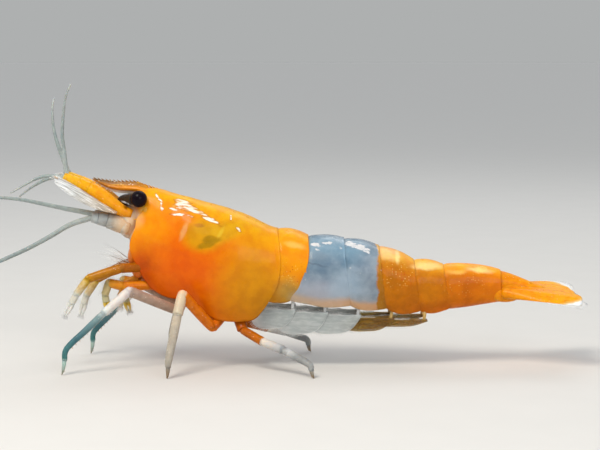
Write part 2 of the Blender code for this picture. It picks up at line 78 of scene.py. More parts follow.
RING_JOINTS = [(0.0, 6.88), (1.52, 6.50), (3.30, 6.38), (5.05, 5.99), (6.78, 5.30),
               (8.25, 5.06), (11.1, 4.78)]
RING_ARCH = (0.15, 0.11, 0.12, 0.15, 0.13, 0.17)
CLEAR_RINGS = (2, 3)
LAST_RING = 6
LAST_RING_FLATNESS = 0.6
RING_LIP = 0.03
PLEURON_SWEEP = 0.50
PLEURON_LOBE = 0.06
ROUNDNESS = 2.1             # exponent of the shell's upper section: 2 is an ellipse
LAST_RING_KEEL = 2.6        # and of the last ring's lower one
MARGIN_TUCK = 0.34          # how far the side plates curve in at their lower margins
EDGE_ROUNDS = 10            # rounds of finding where a curved edge meets the back and belly lines
UNDERLAP = 0.24             # how far each ring slides under the one in front of it
RING_SINK = 0.030           # and how deep it lies there
SHELL_WALL = 0.022
SWITCH_HEIGHT = 5.1         # below this the second ring lies over the first, and above it under it
SWITCH_FADE = 0.6

ROSTRUM_CREST = [(-9.25, 9.40), (-8.6, 9.30), (-8.0, 9.24), (-7.05, 9.22), (-6.65, 9.08),
                 (-6.1, 8.90), (-5.2, 8.62)]
ROSTRUM_KEEL = [(-9.25, 9.33), (-8.75, 8.98), (-8.35, 8.78), (-7.9, 8.67), (-7.3, 8.62),
                (-6.4, 8.56), (-5.2, 8.25)]
ROSTRUM_TIP = -9.27
ROSTRUM_LENGTH = 4.1
CREST_TEETH = 18
KEEL_TEETH = 4


# ---------------------------------------------------------------- lines, routes and sections

def read_line(points, at):
    """The value at one place on a smooth line through (place, value) points."""
    if at <= points[0][0]:
        return points[0][1]
    if at >= points[-1][0]:
        return points[-1][1]
    last = len(points) - 1
    i = max(k for k in range(last) if points[k][0] <= at)
    (x0, y0), (x1, y1) = points[i], points[i + 1]
    before, after = points[max(i - 1, 0)], points[min(i + 2, last)]
    slope_0 = (y1 - before[1]) / (x1 - before[0])
    slope_1 = (after[1] - y0) / (after[0] - x0)
    width = x1 - x0
    t = (at - x0) / width
    return ((2 * t**3 - 3 * t**2 + 1) * y0 + (t**3 - 2 * t**2 + t) * width * slope_0
            + (3 * t**2 - 2 * t**3) * y1 + (t**3 - t**2) * width * slope_1)


def smooth_step(low, high, value):
    t = min(max((value - low) / (high - low), 0.0), 1.0)
    return t * t * (3 - 2 * t)


def hump(value, centre, width):
    """1 at the centre, falling smoothly to nothing a few widths away."""
    return math.exp(-((value - centre) / width)**2)


def rounding(share):
    """How full a round end is: 0 at its tip, and 1 where it meets the whole form."""
    return math.sqrt(1 - (1 - min(max(share, 0.0), 1.0))**2)


def signed_power(value, power):
    return math.copysign(abs(value)**power, value)


def round_section(u, power=1.0):
    """Half width and height of a closed section, u of the way round it from the top."""
    angle = 2 * math.pi * u
    return signed_power(math.sin(angle), power), signed_power(math.cos(angle), power)


def smooth_route(points, steps):
    """Points along a smooth curve through the route's own points."""
    route = [Vector(p) for p in points]
    padded = [2 * route[0] - route[1]] + route + [2 * route[-1] - route[-2]]
    result = []
    for a, b, c, d in zip(padded, padded[1:], padded[2:], padded[3:]):
        for k in range(steps):
            t = k / steps
            result.append(0.5 * (2 * b + (c - a) * t + (2 * a - 5 * b + 4 * c - d) * t**2
                                 + (3 * b - a - 3 * c + d) * t**3))
    result.append(route[-1])
    return result


def point_on(line, share):
    """The place a share of the way through a line's points, and the direction ahead there."""
    step = share * (len(line) - 1)
    i = min(int(step), len(line) - 2)
    return line[i].lerp(line[i + 1], step - i), (line[i + 1] - line[i]).normalized()


def mirrored(points, side):
    return [Vector((x, y * side, z)) for x, y, z in points]


def unit(x, y, z):
    return Vector((x, y, z)).normalized()


def evenly(values):
    """Values set out evenly from 0 to 1, for read_line."""
    return [(k / (len(values) - 1), value) for k, value in enumerate(values)]


# ---------------------------------------------------------------- making and finishing pieces

def new_mesh():
    """An empty mesh whose points can say how far along a limb, or how far down a shell, they are."""
    mesh = bmesh.new()
    mesh.verts.layers.float.new("along")
    return mesh


def finish_piece(name, mesh, material, nodes=()):
    """Move a mesh to its place, put it on the body and hide the solids it stands for."""
    bmesh.ops.recalc_face_normals(mesh, faces=mesh.faces)
    mesh.transform(TO_FRAME)
    data = bpy.data.meshes.new(name)
    mesh.to_mesh(data)
    mesh.free()
    data.shade_smooth()
    data.materials.append(material)
    piece = bpy.data.objects.new(name, data)
    bpy.context.scene.collection.objects.link(piece)
    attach(piece, "root")
    if nodes:
        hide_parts(*nodes)


def add_mesh(target, part):
    """Join one mesh into another."""
    data = bpy.data.meshes.new("joining")
    part.to_mesh(data)
    part.free()
    target.from_mesh(data)
    bpy.data.meshes.remove(data)


def laid_grid(across, along, place, tone=None):
    """A grid laid on a surface by place(u, v), with u and v from 0 to 1."""
    mesh = new_mesh()
    layer = mesh.verts.layers.float["along"]
    bmesh.ops.create_grid(mesh, x_segments=across, y_segments=along, size=0.5)
    for vert in mesh.verts:
        u, v = vert.co.x + 0.5, vert.co.y + 0.5
        vert[layer] = tone(u, v) if tone else v
        vert.co = place(u, v)
    return mesh


def closed_skin(around, along, place, tone=None):
    """A closed skin: u runs round it, v from end to end, and each end is filled or drawn to a point."""
    mesh = laid_grid(around, along, place, tone)
    bmesh.ops.remove_doubles(mesh, verts=mesh.verts, dist=0.0005)
    rims = [edge for edge in mesh.edges if edge.is_boundary]
    if rims:
        bmesh.ops.holes_fill(mesh, edges=rims)
    return mesh


def sweep(stations, flat):
    """Matrices that stand a unit circle across a route at each (place, radius) station."""
    places = [Vector(place) for place, _ in stations]
    last = len(places) - 1
    frames = []
    side = Vector((0, 1, 0))
    for i, (place, (_, radius)) in enumerate(zip(places, stations)):
        ahead = (places[min(i + 1, last)] - places[max(i - 1, 0)]).normalized()
        if abs(side.dot(ahead)) > 0.98:
            side = ahead.orthogonal()
        side = (side - ahead * side.dot(ahead)).normalized()
        turn = Matrix((side, ahead.cross(side), ahead)).transposed().to_4x4()
        size = Matrix.Diagonal((radius * flat, radius, radius, 1.0))
        frames.append(Matrix.Translation(place) @ turn @ size)
    return frames


def add_rod(mesh, stations, sides=12, flat=1.0, share=(0.0, 1.0)):
    """A closed rod: a circle extruded from station to station, with both ends filled."""
    layer = mesh.verts.layers.float["along"]
    frames = sweep(stations, flat)
    ring = bmesh.ops.create_circle(mesh, segments=sides, radius=1.0, matrix=frames[0])["verts"]
    first = edges = list({edge for vert in ring for edge in vert.link_edges})
    last = len(frames) - 1
    for vert in ring:
        vert[layer] = share[0]
    for k in range(1, last + 1):
        grown = bmesh.ops.extrude_edge_only(mesh, edges=edges)["geom"]
        verts = [part for part in grown if isinstance(part, bmesh.types.BMVert)]
        edges = [part for part in grown if isinstance(part, bmesh.types.BMEdge)]
        bmesh.ops.transform(mesh, matrix=frames[k] @ frames[k - 1].inverted(), verts=verts)
        for vert in verts:
            vert[layer] = share[0] + (share[1] - share[0]) * k / last
    bmesh.ops.edgeloop_fill(mesh, edges=first)
    bmesh.ops.edgeloop_fill(mesh, edges=edges)


def add_tooth(mesh, root, ahead, length, radius, tone=0.05):
    """A small hard spine, pointing ahead."""
    root, ahead = Vector(root), Vector(ahead)
    stations = [(root - ahead * radius, radius), (root + ahead * length * 0.45, radius * 0.62),
                (root + ahead * length * 0.8, radius * 0.25), (root + ahead * length, radius * 0.05)]
    add_rod(mesh, stations, sides=6, share=(tone, tone))


def add_ball(mesh, centre, radii, turn=(0, 0, 0), rings=16):
    size = Matrix.Diagonal((*radii, 1.0))
    place = Matrix.Translation(centre) @ Euler(turn).to_matrix().to_4x4() @ size
    bmesh.ops.create_uvsphere(mesh, u_segments=rings * 2, v_segments=rings, radius=1.0, matrix=place)


# ---------------------------------------------------------------- materials

def hex_colour(text):
    """An sRGB hex colour as the linear colour that shaders take."""
    values = [int(text[i:i + 2], 16) / 255 for i in (1, 3, 5)]
    return (*[v / 12.92 if v <= 0.04045 else ((v + 0.055) / 1.055)**2.4 for v in values], 1.0)


def add_node(tree, kind, links=None, output=0, **settings):
    """Add a node and give one output: links sets each input to a value, a hex colour or a source."""
    node = tree.nodes.new(kind)
    for name, value in settings.items():
        setattr(node, name, value)
    for socket, value in (links or {}).items():
        if isinstance(value, bpy.types.NodeSocket):
            tree.links.new(value, node.inputs[socket])
        else:
            node.inputs[socket].default_value = hex_colour(value) if isinstance(value, str) else value
    return node.outputs[output]


def start_material(name, **constants):
    """A material with its constant sockets set, its node tree, and the place in the drawing."""
    material = bpy.data.materials.new(name)
    material.use_nodes = True
    tree = material.node_tree
    shader = tree.nodes["Principled BSDF"]
    for socket, value in constants.items():
        shader.inputs[socket.replace("_", " ")].default_value = value
    source = add_node(tree, "ShaderNodeTexCoord", output="Object")
    to_drawing = {"Vector": source, "Location": -ORIGIN / MM, "Scale": (1 / MM,) * 3}
    return material, tree, add_node(tree, "ShaderNodeMapping", to_drawing)


def finish_material(material, relief=None, depth=0.0, **sources):
    """Link the shader's sockets, and give it relief of the given depth in millimetres.

    The fine grain in the relief is drawn coarser than life, so that it shows at this size.
    """
    tree = material.node_tree
    shader = tree.nodes["Principled BSDF"]
    if relief:
        links = {"Height": relief, "Distance": depth * MM, "Strength": 1.0}
        sources["Normal"] = add_node(tree, "ShaderNodeBump", links)
    for socket, source in sources.items():
        tree.links.new(source, shader.inputs[socket.replace("_", " ")])
    return material


def coloured_by(tree, value, stops):
    """The colour that (place, hex) stops give at a value."""
    low, high = stops[0][0], stops[-1][0]
    share = add_node(tree, "ShaderNodeMapRange", {"Value": value, "From Min": low, "From Max": high})
    colour = add_node(tree, "ShaderNodeValToRGB", {"Fac": share})
    elements = colour.node.color_ramp.elements
    while len(elements) < len(stops):
        elements.new(0.5)
    for element, (place, paint) in zip(elements, stops):
        element.position = (place - low) / (high - low)
        element.color = hex_colour(paint)
    return colour


def rising(tree, value, low, high, least=0.0, most=1.0):
    """A smooth rise from least to most, as a value goes from low to high."""
    links = {"Value": value, "From Min": low, "From Max": high, "To Min": least, "To Max": most}
    return add_node(tree, "ShaderNodeMapRange", links, interpolation_type="SMOOTHSTEP")


def laid_over(tree, colour, share, paint, blend="MIX"):
    links = {0: share, 6: colour, 7: paint}
    return add_node(tree, "ShaderNodeMix", links, 2, data_type="RGBA", blend_type=blend)


def painted(tree, colour, value, low, high, paint, strength=1.0):
    """Paint over a colour, thicker as a value goes from low to high."""
    return laid_over(tree, colour, rising(tree, value, low, high, 0.0, strength), paint)


def grain(tree, place, size, detail=3.0, stretch=(1, 1, 1)):
    """Cloudy light and dark, with features of about the given size in millimetres."""
    stretched = add_node(tree, "ShaderNodeMapping", {"Vector": place, "Scale": stretch})
    links = {"Vector": stretched, "Scale": 1 / size, "Detail": detail}
    return add_node(tree, "ShaderNodeTexNoise", links, "Fac")


def mottled(tree, colour, cloud, low, high, dark, pale, strength):
    """A colour with darker and paler clouds in it."""
    return laid_over(tree, colour, strength, painted(tree, dark, cloud, low, high, pale), "OVERLAY")


def wobbled(tree, place, size, reach):
    """The place, moved about by noise, so that no patch has a ruled edge."""
    links = {0: grain(tree, place, size).node.outputs["Color"], 1: (0.5, 0.5, 0.5)}
    moved = add_node(tree, "ShaderNodeVectorMath", links, operation="SUBTRACT")
    scaled = add_node(tree, "ShaderNodeVectorMath", {0: moved, "Scale": reach}, operation="SCALE")
    return add_node(tree, "ShaderNodeVectorMath", {0: place, 1: scaled}, operation="ADD")


def patched(tree, colour, place, patches):
    """Soft ellipses of colour, seen from the side.

    Each is (hex, (x, z), (half length, half height), turn in degrees, softness of its edge, strength).
    """
    flat = add_node(tree, "ShaderNodeVectorMath", {0: place, 1: (1, 0, 1)}, operation="MULTIPLY")
    for paint, (x, z), (long, tall), turn, edge, strength in patches:
        links = {"Vector": flat, "Location": (x, 0, z), "Rotation": (0, math.radians(turn), 0),
                 "Scale": (long, 1, tall)}
        spot = add_node(tree, "ShaderNodeMapping", links, vector_type="TEXTURE")
        reach = add_node(tree, "ShaderNodeVectorMath", {0: spot}, "Value", operation="LENGTH")
        colour = laid_over(tree, colour, rising(tree, reach, 1 - edge, 1 + edge, strength, 0.0), paint)
    return colour


def speckled(tree, colour, place, size, paint, cover, strength, where=1.0):
    """Pigment cells: small round dots of colour, on about the given share of the skin.

    They are drawn coarser than life, so that they show at this size.
    """
    distance = add_node(tree, "ShaderNodeTexVoronoi", {"Vector": place, "Scale": 1 / size}, "Distance")
    near = rising(tree, distance, 0.18, 0.34, 1.0, 0.0)
    picked = add_node(tree, "ShaderNodeSeparateColor", {"Color": distance.node.outputs["Color"]})
    chosen = rising(tree, picked, 1 - cover, 1 - cover + 0.05, 0.0, strength)
    share = add_node(tree, "ShaderNodeMath", {0: near, 1: chosen}, operation="MULTIPLY")
    masked = add_node(tree, "ShaderNodeMath", {0: share, 1: where}, operation="MULTIPLY")
    return laid_over(tree, colour, masked, paint)


def painted_glint_strength(tree, place, glints, weight, threads):
    """How strong the painted highlights are: soft patches of wet glint, broken up by fine threads."""
    marks = [("#ffffff", at, size, turn, 0.6, strength) for at, size, turn, strength in glints]
    inside = patched(tree, "#000000", wobbled(tree, place, 0.30, 0.12), marks)
    return add_node(tree, "ShaderNodeMath", {0: inside, 1: weight, 2: threads}, operation="MULTIPLY_ADD")


# Colours along the body, as (x, hex): on the flank, the back and the lower margin of its plates.
# The back is paler and the flank and lower margin darker, partly the shell's own colour and partly painted
# light from above and painted shade below.
FLANK = [(-7.9, "#e08a10"), (-7.0, "#f58e06"), (-6.0, "#f38004"), (-4.4, "#ea6c02"),
         (-2.7, "#e57c04"), (-1.2, "#e28e06"), (0.7, "#f6980a"), (2.0, "#ec8c0a"), (5.0, "#ba7204"),
         (6.6, "#b96c03"), (7.4, "#c27604"), (9.4, "#be6802"), (11.6, "#e08206")]
BACK = [(-7.8, "#e39a0e"), (-6.4, "#eea60a"), (-4.0, "#ecac06"), (-1.0, "#eca806"), (1.2, "#f4a40e"),
        (5.1, "#f6b448"), (8.0, "#fbb034"), (11.2, "#f9a21c")]
MARGIN = [(-7.3, "#dc6203"), (-6.2, "#d45c02"), (-4.8, "#d85c02"), (-2.5, "#cc7204"), (0.3, "#bb8420"),
          (1.2, "#b08a3a"), (5.1, "#b46c08"), (8.2, "#c06404"), (11.2, "#d07206")]
FLANK_PATCHES = [
    ("#e66000", (-4.5, 5.2), (1.6, 1.1), 15, 0.75, 0.85),
    ("#cc8a0c", (-1.3, 4.3), (1.5, 1.4), -10, 0.7, 0.70),
    ("#fa9c0c", (-6.3, 7.2), (0.9, 0.9), 0, 0.7, 0.55),
    ("#a8904a", (0.55, 3.95), (0.55, 0.55), 0, 0.7, 0.75),
    ("#b8a684", (0.95, 3.55), (0.40, 0.35), 0, 0.7, 0.70),
    ("#f2bc84", (-6.95, 7.45), (0.30, 0.34), 0, 0.8, 0.55),
    ("#bb4a00", (-6.90, 4.9), (0.80, 1.1), 15, 0.7, 0.90),
    # the pale salmon patch on the fourth ring's top is partly its own colour and partly a painted highlight
    ("#f7b98a", (5.35, 5.85), (0.50, 0.32), 10, 0.6, 0.60)]
WINDOW_PATCHES = [
    ("#cc9a0c", (-3.62, 6.74), (1.00, 0.74), 0, 0.40, 0.80),
    ("#d09e10", (-2.66, 6.90), (0.96, 0.44), -14, 0.45, 0.80),
    ("#9a7806", (-3.36, 6.34), (0.60, 0.15), -20, 0.35, 0.85),
    ("#9a7806", (-3.32, 6.52), (0.40, 0.15), -6, 0.35, 0.80),
    ("#d8b02a", (-3.75, 6.98), (0.34, 0.22), 20, 0.60, 0.35),
    ("#dcb838", (-2.80, 6.86), (0.30, 0.10), -60, 0.45, 0.60),
    ("#a5672c", (-3.86, 7.20), (0.24, 0.09), 12, 0.50, 0.60),
    ("#e9a874", (-4.62, 6.90), (0.46, 0.11), -64, 0.50, 0.65)]
# Painted highlights: pale patches laid into the rings' colour where light shines on them.
PAINTED_RING_HIGHLIGHTS = [
    ("#ffd48c", (5.50, 5.62), (0.48, 0.20), 12, 0.7, 0.70),
    ("#ffe6a8", (5.95, 5.56), (0.10, 0.26), 4, 0.6, 0.70),
    ("#ffe09a", (7.40, 5.06), (0.70, 0.15), 3, 0.5, 0.80),
    ("#ffe09a", (10.05, 4.84), (0.62, 0.11), 5, 0.6, 0.80),
    ("#ffd878", (8.9, 4.78), (0.42, 0.09), 0, 0.7, 0.50),
    ("#ffdf9a", (0.85, 6.20), (0.45, 0.12), 14, 0.7, 0.30)]
FRECKLED_PATCHES = [
    ("#ffffff", (0.75, 4.75), (0.60, 0.60), 0, 0.6, 1.0),
    ("#ffffff", (5.9, 4.7), (0.9, 0.55), 10, 0.6, 1.0),
    ("#ffffff", (9.3, 4.2), (1.0, 0.5), 0, 0.6, 0.5)]
BARELY_FRECKLED = (0.08, 0.08, 0.08, 1)
# Painted highlights, wet glints in the colour: ((x, z), (half length, half height), turn in degrees,
# strength).
PAINTED_GLINTS = [
    ((-4.76, 8.30), (0.48, 0.12), 10, 1.0), ((-4.60, 8.04), (0.66, 0.17), 10, 1.0),
    ((-5.12, 7.92), (0.28, 0.07), 12, 1.0), ((-4.96, 7.70), (0.46, 0.07), 2, 1.0),
    ((-4.16, 7.90), (0.46, 0.12), 18, 0.95), ((-3.72, 7.74), (0.38, 0.09), 26, 0.9),
    ((-3.28, 7.44), (0.58, 0.11), 27, 1.0), ((-4.30, 7.62), (0.24, 0.05), 20, 0.7),
    ((-2.32, 7.52), (0.15, 0.06), 80, 1.0), ((-1.92, 6.98), (0.20, 0.08), 40, 1.0),
    ((-5.92, 8.50), (0.27, 0.06), 50, 1.0), ((-5.76, 8.22), (0.20, 0.06), 78, 1.0),
    ((-5.70, 7.94), (0.10, 0.10), 0, 1.0)]
# Painted highlights on the clear rings, in the same form.
PAINTED_BAND_GLINTS = [
    ((1.86, 6.19), (0.36, 0.09), 6, 1.0), ((2.45, 6.26), (0.28, 0.08), 0, 1.0),
    ((1.95, 5.98), (0.20, 0.06), 12, 0.85), ((3.62, 6.17), (0.34, 0.12), 10, 1.0),
    ((4.12, 6.03), (0.42, 0.14), 14, 1.0), ((4.45, 5.84), (0.25, 0.09), 20, 0.85),
    ((2.95, 6.05), (0.40, 0.16), 10, 0.55), ((4.45, 4.9), (0.22, 0.06), 0, 0.6)]


def make_orange_cuticle():
    """Polished chitin over orange flesh: wet gloss and painted highlights on top, and a soft glow where light
    gets under it.
    """
    material, tree, place = start_material(
        "orange_cuticle", Subsurface_Weight=0.18, Subsurface_Radius=(1.0, 0.50, 0.10),
        Subsurface_Scale=0.00028, Coat_Weight=0.10, Coat_Roughness=0.10, IOR=1.40,
        Specular_IOR_Level=0.11)
    x = add_node(tree, "ShaderNodeSeparateXYZ", {"Vector": place}, "X")
    down = add_node(tree, "ShaderNodeAttribute", output="Fac", attribute_name="along")
    # Paler on the back and darker to the margin: partly the shell's own colour, partly painted light and
    # shade.
    colour = painted(tree, coloured_by(tree, x, BACK), down, 0.08, 0.40, coloured_by(tree, x, FLANK))
    colour = painted(tree, colour, down, 0.62, 0.98, coloured_by(tree, x, MARGIN))
    soft = wobbled(tree, place, 0.9, 0.45)
    colour = patched(tree, colour, soft, FLANK_PATCHES)
    fine = wobbled(tree, wobbled(tree, place, 0.5, 0.22), 0.16, 0.08)
    # The olive window seen through the shell, and the painted highlights on the rings.
    colour = patched(tree, colour, fine, WINDOW_PATCHES + PAINTED_RING_HIGHLIGHTS)
    cloud = grain(tree, place, 0.55, 5.0)
    colour = mottled(tree, colour, cloud, 0.34, 0.66, "#a85006", "#ffc848", 0.20)
    freckled = patched(tree, BARELY_FRECKLED, soft, FRECKLED_PATCHES)
    colour = speckled(tree, colour, place, 0.11, "#c84404", 0.50, 0.75, freckled)
    colour = speckled(tree, colour, place, 0.09, "#ffdc80", 0.26, 0.70, freckled)
    # Painted highlights: white wet glints laid into the colour, each rimmed with brown.
    turned = {"Vector": place, "Rotation": (0, math.radians(-14), 0)}
    threads = grain(tree, add_node(tree, "ShaderNodeMapping", turned), 0.12, 3.0, (0.20, 1.0, 1.0))
    wet = painted_glint_strength(tree, place, PAINTED_GLINTS, 0.62, threads)
    colour = painted(tree, colour, wet, 0.76, 0.92, "#a85a10", 0.42)
    colour = painted(tree, colour, wet, 0.95, 1.17, "#fff2de", 0.97)
    pits = grain(tree, place, 0.09, 2.0)
    links = {0: grain(tree, place, 0.8, 2.0), 1: 4.0, 2: pits}
    relief = add_node(tree, "ShaderNodeMath", links, operation="MULTIPLY_ADD")
    rough = rising(tree, grain(tree, place, 0.35), 0.3, 0.7, 0.26, 0.40)
    return finish_material(material, relief, 0.010, Base_Color=colour, Roughness=rough)


def make_rostrum_cuticle():
    """The rostrum's harder chitin: orange-brown, a freckled dark and white crest, a lower edge painted white
    as a glint, and painted highlight streaks.
    """
    material, tree, place = start_material(
        "rostrum_cuticle", Subsurface_Weight=0.15, Subsurface_Radius=(1.0, 0.5, 0.2),
        Subsurface_Scale=0.00020, Coat_Weight=0.12, Coat_Roughness=0.10, IOR=1.45,
        Specular_IOR_Level=0.18)
    x = add_node(tree, "ShaderNodeSeparateXYZ", {"Vector": place}, "X")
    height = add_node(tree, "ShaderNodeAttribute", output="Fac", attribute_name="along")
    flank = coloured_by(tree, x, [(-9.3, "#8c5e24"), (-8.6, "#ae6c12"), (-7.8, "#cc7806"),
                                  (-6.8, "#e89006"), (-6.0, "#f2a60c"), (-5.2, "#f4ae0e")])
    crest = coloured_by(tree, x, [(-9.3, "#7c6448"), (-8.4, "#8c6438"), (-7.0, "#a46c24"),
                                  (-6.0, "#ea9810"), (-5.2, "#f4ae0e")])
    # The pale lower edge is a painted glint.
    keel_glint = coloured_by(tree, x, [(-9.3, "#b5a288"), (-8.4, "#eee2d0"), (-7.2, "#f6ece0"),
                                 (-6.6, "#f4a810")])
    colour = painted(tree, flank, height, 0.55, 0.80, crest)
    colour = painted(tree, colour, height, 0.30, 0.12, keel_glint)
    # Pale streaks along the blade are painted highlights.
    wavy = wobbled(tree, place, 0.3, 0.2)
    lines = grain(tree, wavy, 0.10, 3.0, (0.18, 1.0, 1.0))
    colour = painted(tree, colour, lines, 0.54, 0.66, "#ffc24a", 0.55)
    links = {0: rising(tree, x, -5.9, -6.9), 1: rising(tree, height, 0.60, 0.85)}
    crested = add_node(tree, "ShaderNodeMath", links, operation="MULTIPLY")
    colour = speckled(tree, colour, wavy, 0.10, "#3c2818", 0.30, 0.80, crested)
    colour = speckled(tree, colour, wavy, 0.10, "#fff4e0", 0.42, 0.95, crested)
    rough = rising(tree, grain(tree, place, 0.2), 0.3, 0.7, 0.24, 0.40)
    pits = grain(tree, place, 0.08, 2.0)
    return finish_material(material, pits, 0.010, Base_Color=colour, Roughness=rough)


CLEAR_COLOURS = [(0.0, "#607b92"), (0.10, "#7194ae"), (0.24, "#7ea6c2"), (0.42, "#6e8ba4"),
                 (0.62, "#728da6"), (0.73, "#8ea8bf"), (0.86, "#a3abb2"), (0.92, "#c8a88a"),
                 (1.0, "#cc9450")]
CLEAR_PATCHES = [
    ("#c4c9da", (2.0, 3.9), (1.1, 0.6), 0, 0.7, 0.55),
    ("#b4d2ea", (3.3, 4.1), (0.7, 0.8), 0, 0.7, 0.55),
    # the thin dark line along a crease is painted shade
    ("#56687c", (1.95, 5.28), (0.48, 0.05), 10, 0.5, 0.55),
    ("#6c7f92", (1.9, 5.65), (0.6, 0.22), 5, 0.6, 0.35),
    ("#4c7694", (3.35, 5.30), (0.32, 0.22), 0, 0.6, 0.45)]
BELLY_STRIPE = [(0.9, "#e2c4a0"), (3.0, "#e8b484"), (4.8, "#e89c48")]
REAR_PIGMENT = [(0.0, "#f6b448"), (0.12, "#f2ae44"), (0.38, "#bb7404"), (0.62, "#ba7204"),
                (1.0, "#b06a08")]


def make_clear_cuticle():
    """Clear chitin over pale muscle, with no pigment: blue-grey and milky, brightest along the back, where
    highlights are painted in.
    """
    material, tree, place = start_material(
        "clear_cuticle", Subsurface_Weight=0.45, Subsurface_Radius=(0.7, 0.9, 1.0),
        Subsurface_Scale=0.0005, Coat_Weight=0.17, Coat_Roughness=0.08, IOR=1.42,
        Specular_IOR_Level=0.22)
    down = add_node(tree, "ShaderNodeAttribute", output="Fac", attribute_name="along")
    x = add_node(tree, "ShaderNodeSeparateXYZ", {"Vector": place}, "X")
    colour = painted(tree, coloured_by(tree, down, CLEAR_COLOURS), x, 3.6, 5.0, "#8792a0", 0.60)
    soft = wobbled(tree, place, 0.7, 0.4)
    cloud = grain(tree, soft, 0.9)
    colour = painted(tree, colour, cloud, 0.35, 0.75, "#c4d8e8", 0.42)
    dim = grain(tree, soft, 0.5, 3.0, (0.6, 1.0, 1.0))
    colour = painted(tree, colour, dim, 0.50, 0.80, "#5f7a96", 0.45)
    colour = patched(tree, colour, soft, CLEAR_PATCHES)
    links = {0: cloud, 1: 0.10, 2: down}
    wobbled_down = add_node(tree, "ShaderNodeMath", links, operation="MULTIPLY_ADD")
    belly = coloured_by(tree, x, BELLY_STRIPE)
    colour = painted(tree, colour, wobbled_down, 0.87, 0.99, belly, 0.80)
    ragged = wobbled(tree, soft, 0.16, 0.22)
    ragged_x = add_node(tree, "ShaderNodeSeparateXYZ", {"Vector": ragged}, "X")
    colour = painted(tree, colour, ragged_x, 4.86, 4.98, coloured_by(tree, down, REAR_PIGMENT))
    # Painted highlights: white wet glints laid into the colour along the back.
    threads = grain(tree, wobbled(tree, place, 0.3, 0.15), 0.12, 3.0, (0.45, 1.0, 1.0))
    wet = painted_glint_strength(tree, place, PAINTED_BAND_GLINTS, 0.60, threads)
    colour = painted(tree, colour, wet, 0.88, 1.08, "#f8fcff", 0.97)
    colour = speckled(tree, colour, place, 0.17, "#f4fbff", 0.04, 0.50)
    rough = rising(tree, grain(tree, place, 0.3), 0.3, 0.7, 0.18, 0.36)
    dimples = grain(tree, place, 0.28, 3.0)
    return finish_material(material, dimples, 0.018, Base_Color=colour, Roughness=rough)


FLESH_COLOURS = [(-9.4, "#a9aaa6"), (-8.3, "#aeaca6"), (-7.7, "#bcb0a0"), (-7.1, "#d4aa80"),
                 (-5.5, "#c98a4a"), (-1.0, "#b98a50"), (1.2, "#a89a88"), (5.0, "#9aa0a0"),
                 (6.0, "#b98846"), (11.0, "#cf8a30")]
STALK_PATCH = ((-7.58, 8.44), (0.66, 0.40), 0, 0.25)
FLESH_PATCHES = [
    ("#d4700c", (-6.95, 4.9), (0.85, 1.30), 0, 0.4, 0.95),
    ("#f0a424", (-6.55, 8.1), (0.50, 0.80), 0, 0.4, 0.85),
    ("#0f0c0b", *STALK_PATCH, 0.98),
    # two small painted highlights under the eyestalk
    ("#c4dcf4", (-7.62, 8.26), (0.17, 0.045), 12, 0.5, 0.90),
    ("#c4dcf4", (-7.38, 8.20), (0.06, 0.045), 0, 0.5, 0.90),
    ("#efcfb0", (-7.15, 7.55), (0.34, 0.28), 0, 0.5, 0.80),
    ("#e8bc8c", (-7.20, 6.95), (0.36, 0.48), 20, 0.5, 0.80)]


def make_soft_flesh():
    """Pale, half-clear skin and muscle: beige under the eyes, grey towards the feelers, dark stalks."""
    material, tree, place = start_material(
        "soft_flesh", Subsurface_Radius=(1.0, 0.6, 0.4), Subsurface_Scale=0.0004,
        Coat_Roughness=0.12, IOR=1.42, Specular_IOR_Level=0.22)
    x = add_node(tree, "ShaderNodeSeparateXYZ", {"Vector": place}, "X")
    place = wobbled(tree, place, 0.3, 0.14)
    cloud = grain(tree, place, 0.3, 4.0)
    colour = painted(tree, coloured_by(tree, x, FLESH_COLOURS), cloud, 0.40, 0.70, "#efe6d8", 0.35)
    colour = speckled(tree, colour, place, 0.09, "#bfe0ff", 0.10, 0.6)
    colour = patched(tree, colour, place, FLESH_PATCHES)
    stalk = patched(tree, "#000000", place, [("#ffffff", *STALK_PATCH, 1.0)])
    return finish_material(
        material, grain(tree, place, 0.12), 0.015, Base_Color=colour,
        Roughness=rising(tree, cloud, 0.3, 0.7, 0.28, 0.42),
        Subsurface_Weight=rising(tree, stalk, 0.2, 0.8, 0.45, 0.02),
        Coat_Weight=rising(tree, stalk, 0.2, 0.8, 0.30, 0.10))


def make_cornea():
    """The eye: near-black pigment with a plum tint under a wet, polished cornea of fine facets."""
    material, tree, place = start_material(
        "wet_cornea", Coat_Weight=0.13, Coat_Roughness=0.03, IOR=1.38, Specular_IOR_Level=0.06)
    x = add_node(tree, "ShaderNodeSeparateXYZ", {"Vector": place}, "X")
    stops = [(-7.40, "#2c201a"), (-7.20, "#100810"), (-6.90, "#050305"), (-6.4, "#180614")]
    # The facets are drawn coarser than life, at 0.035 mm, so that they show at this size.
    facets = {"Vector": place, "Scale": 1 / 0.035}
    facet = add_node(tree, "ShaderNodeTexVoronoi", facets, "Distance")
    colour = painted(tree, coloured_by(tree, x, stops), facet, 0.1, 0.6, "#1c0a18", 0.35)
    rough = rising(tree, facet, 0.2, 0.7, 0.12, 0.30)
    domes = rising(tree, facet, 0.0, 0.7, 1.0, 0.0)
    return finish_material(material, domes, 0.0035, Base_Color=colour, Roughness=rough)


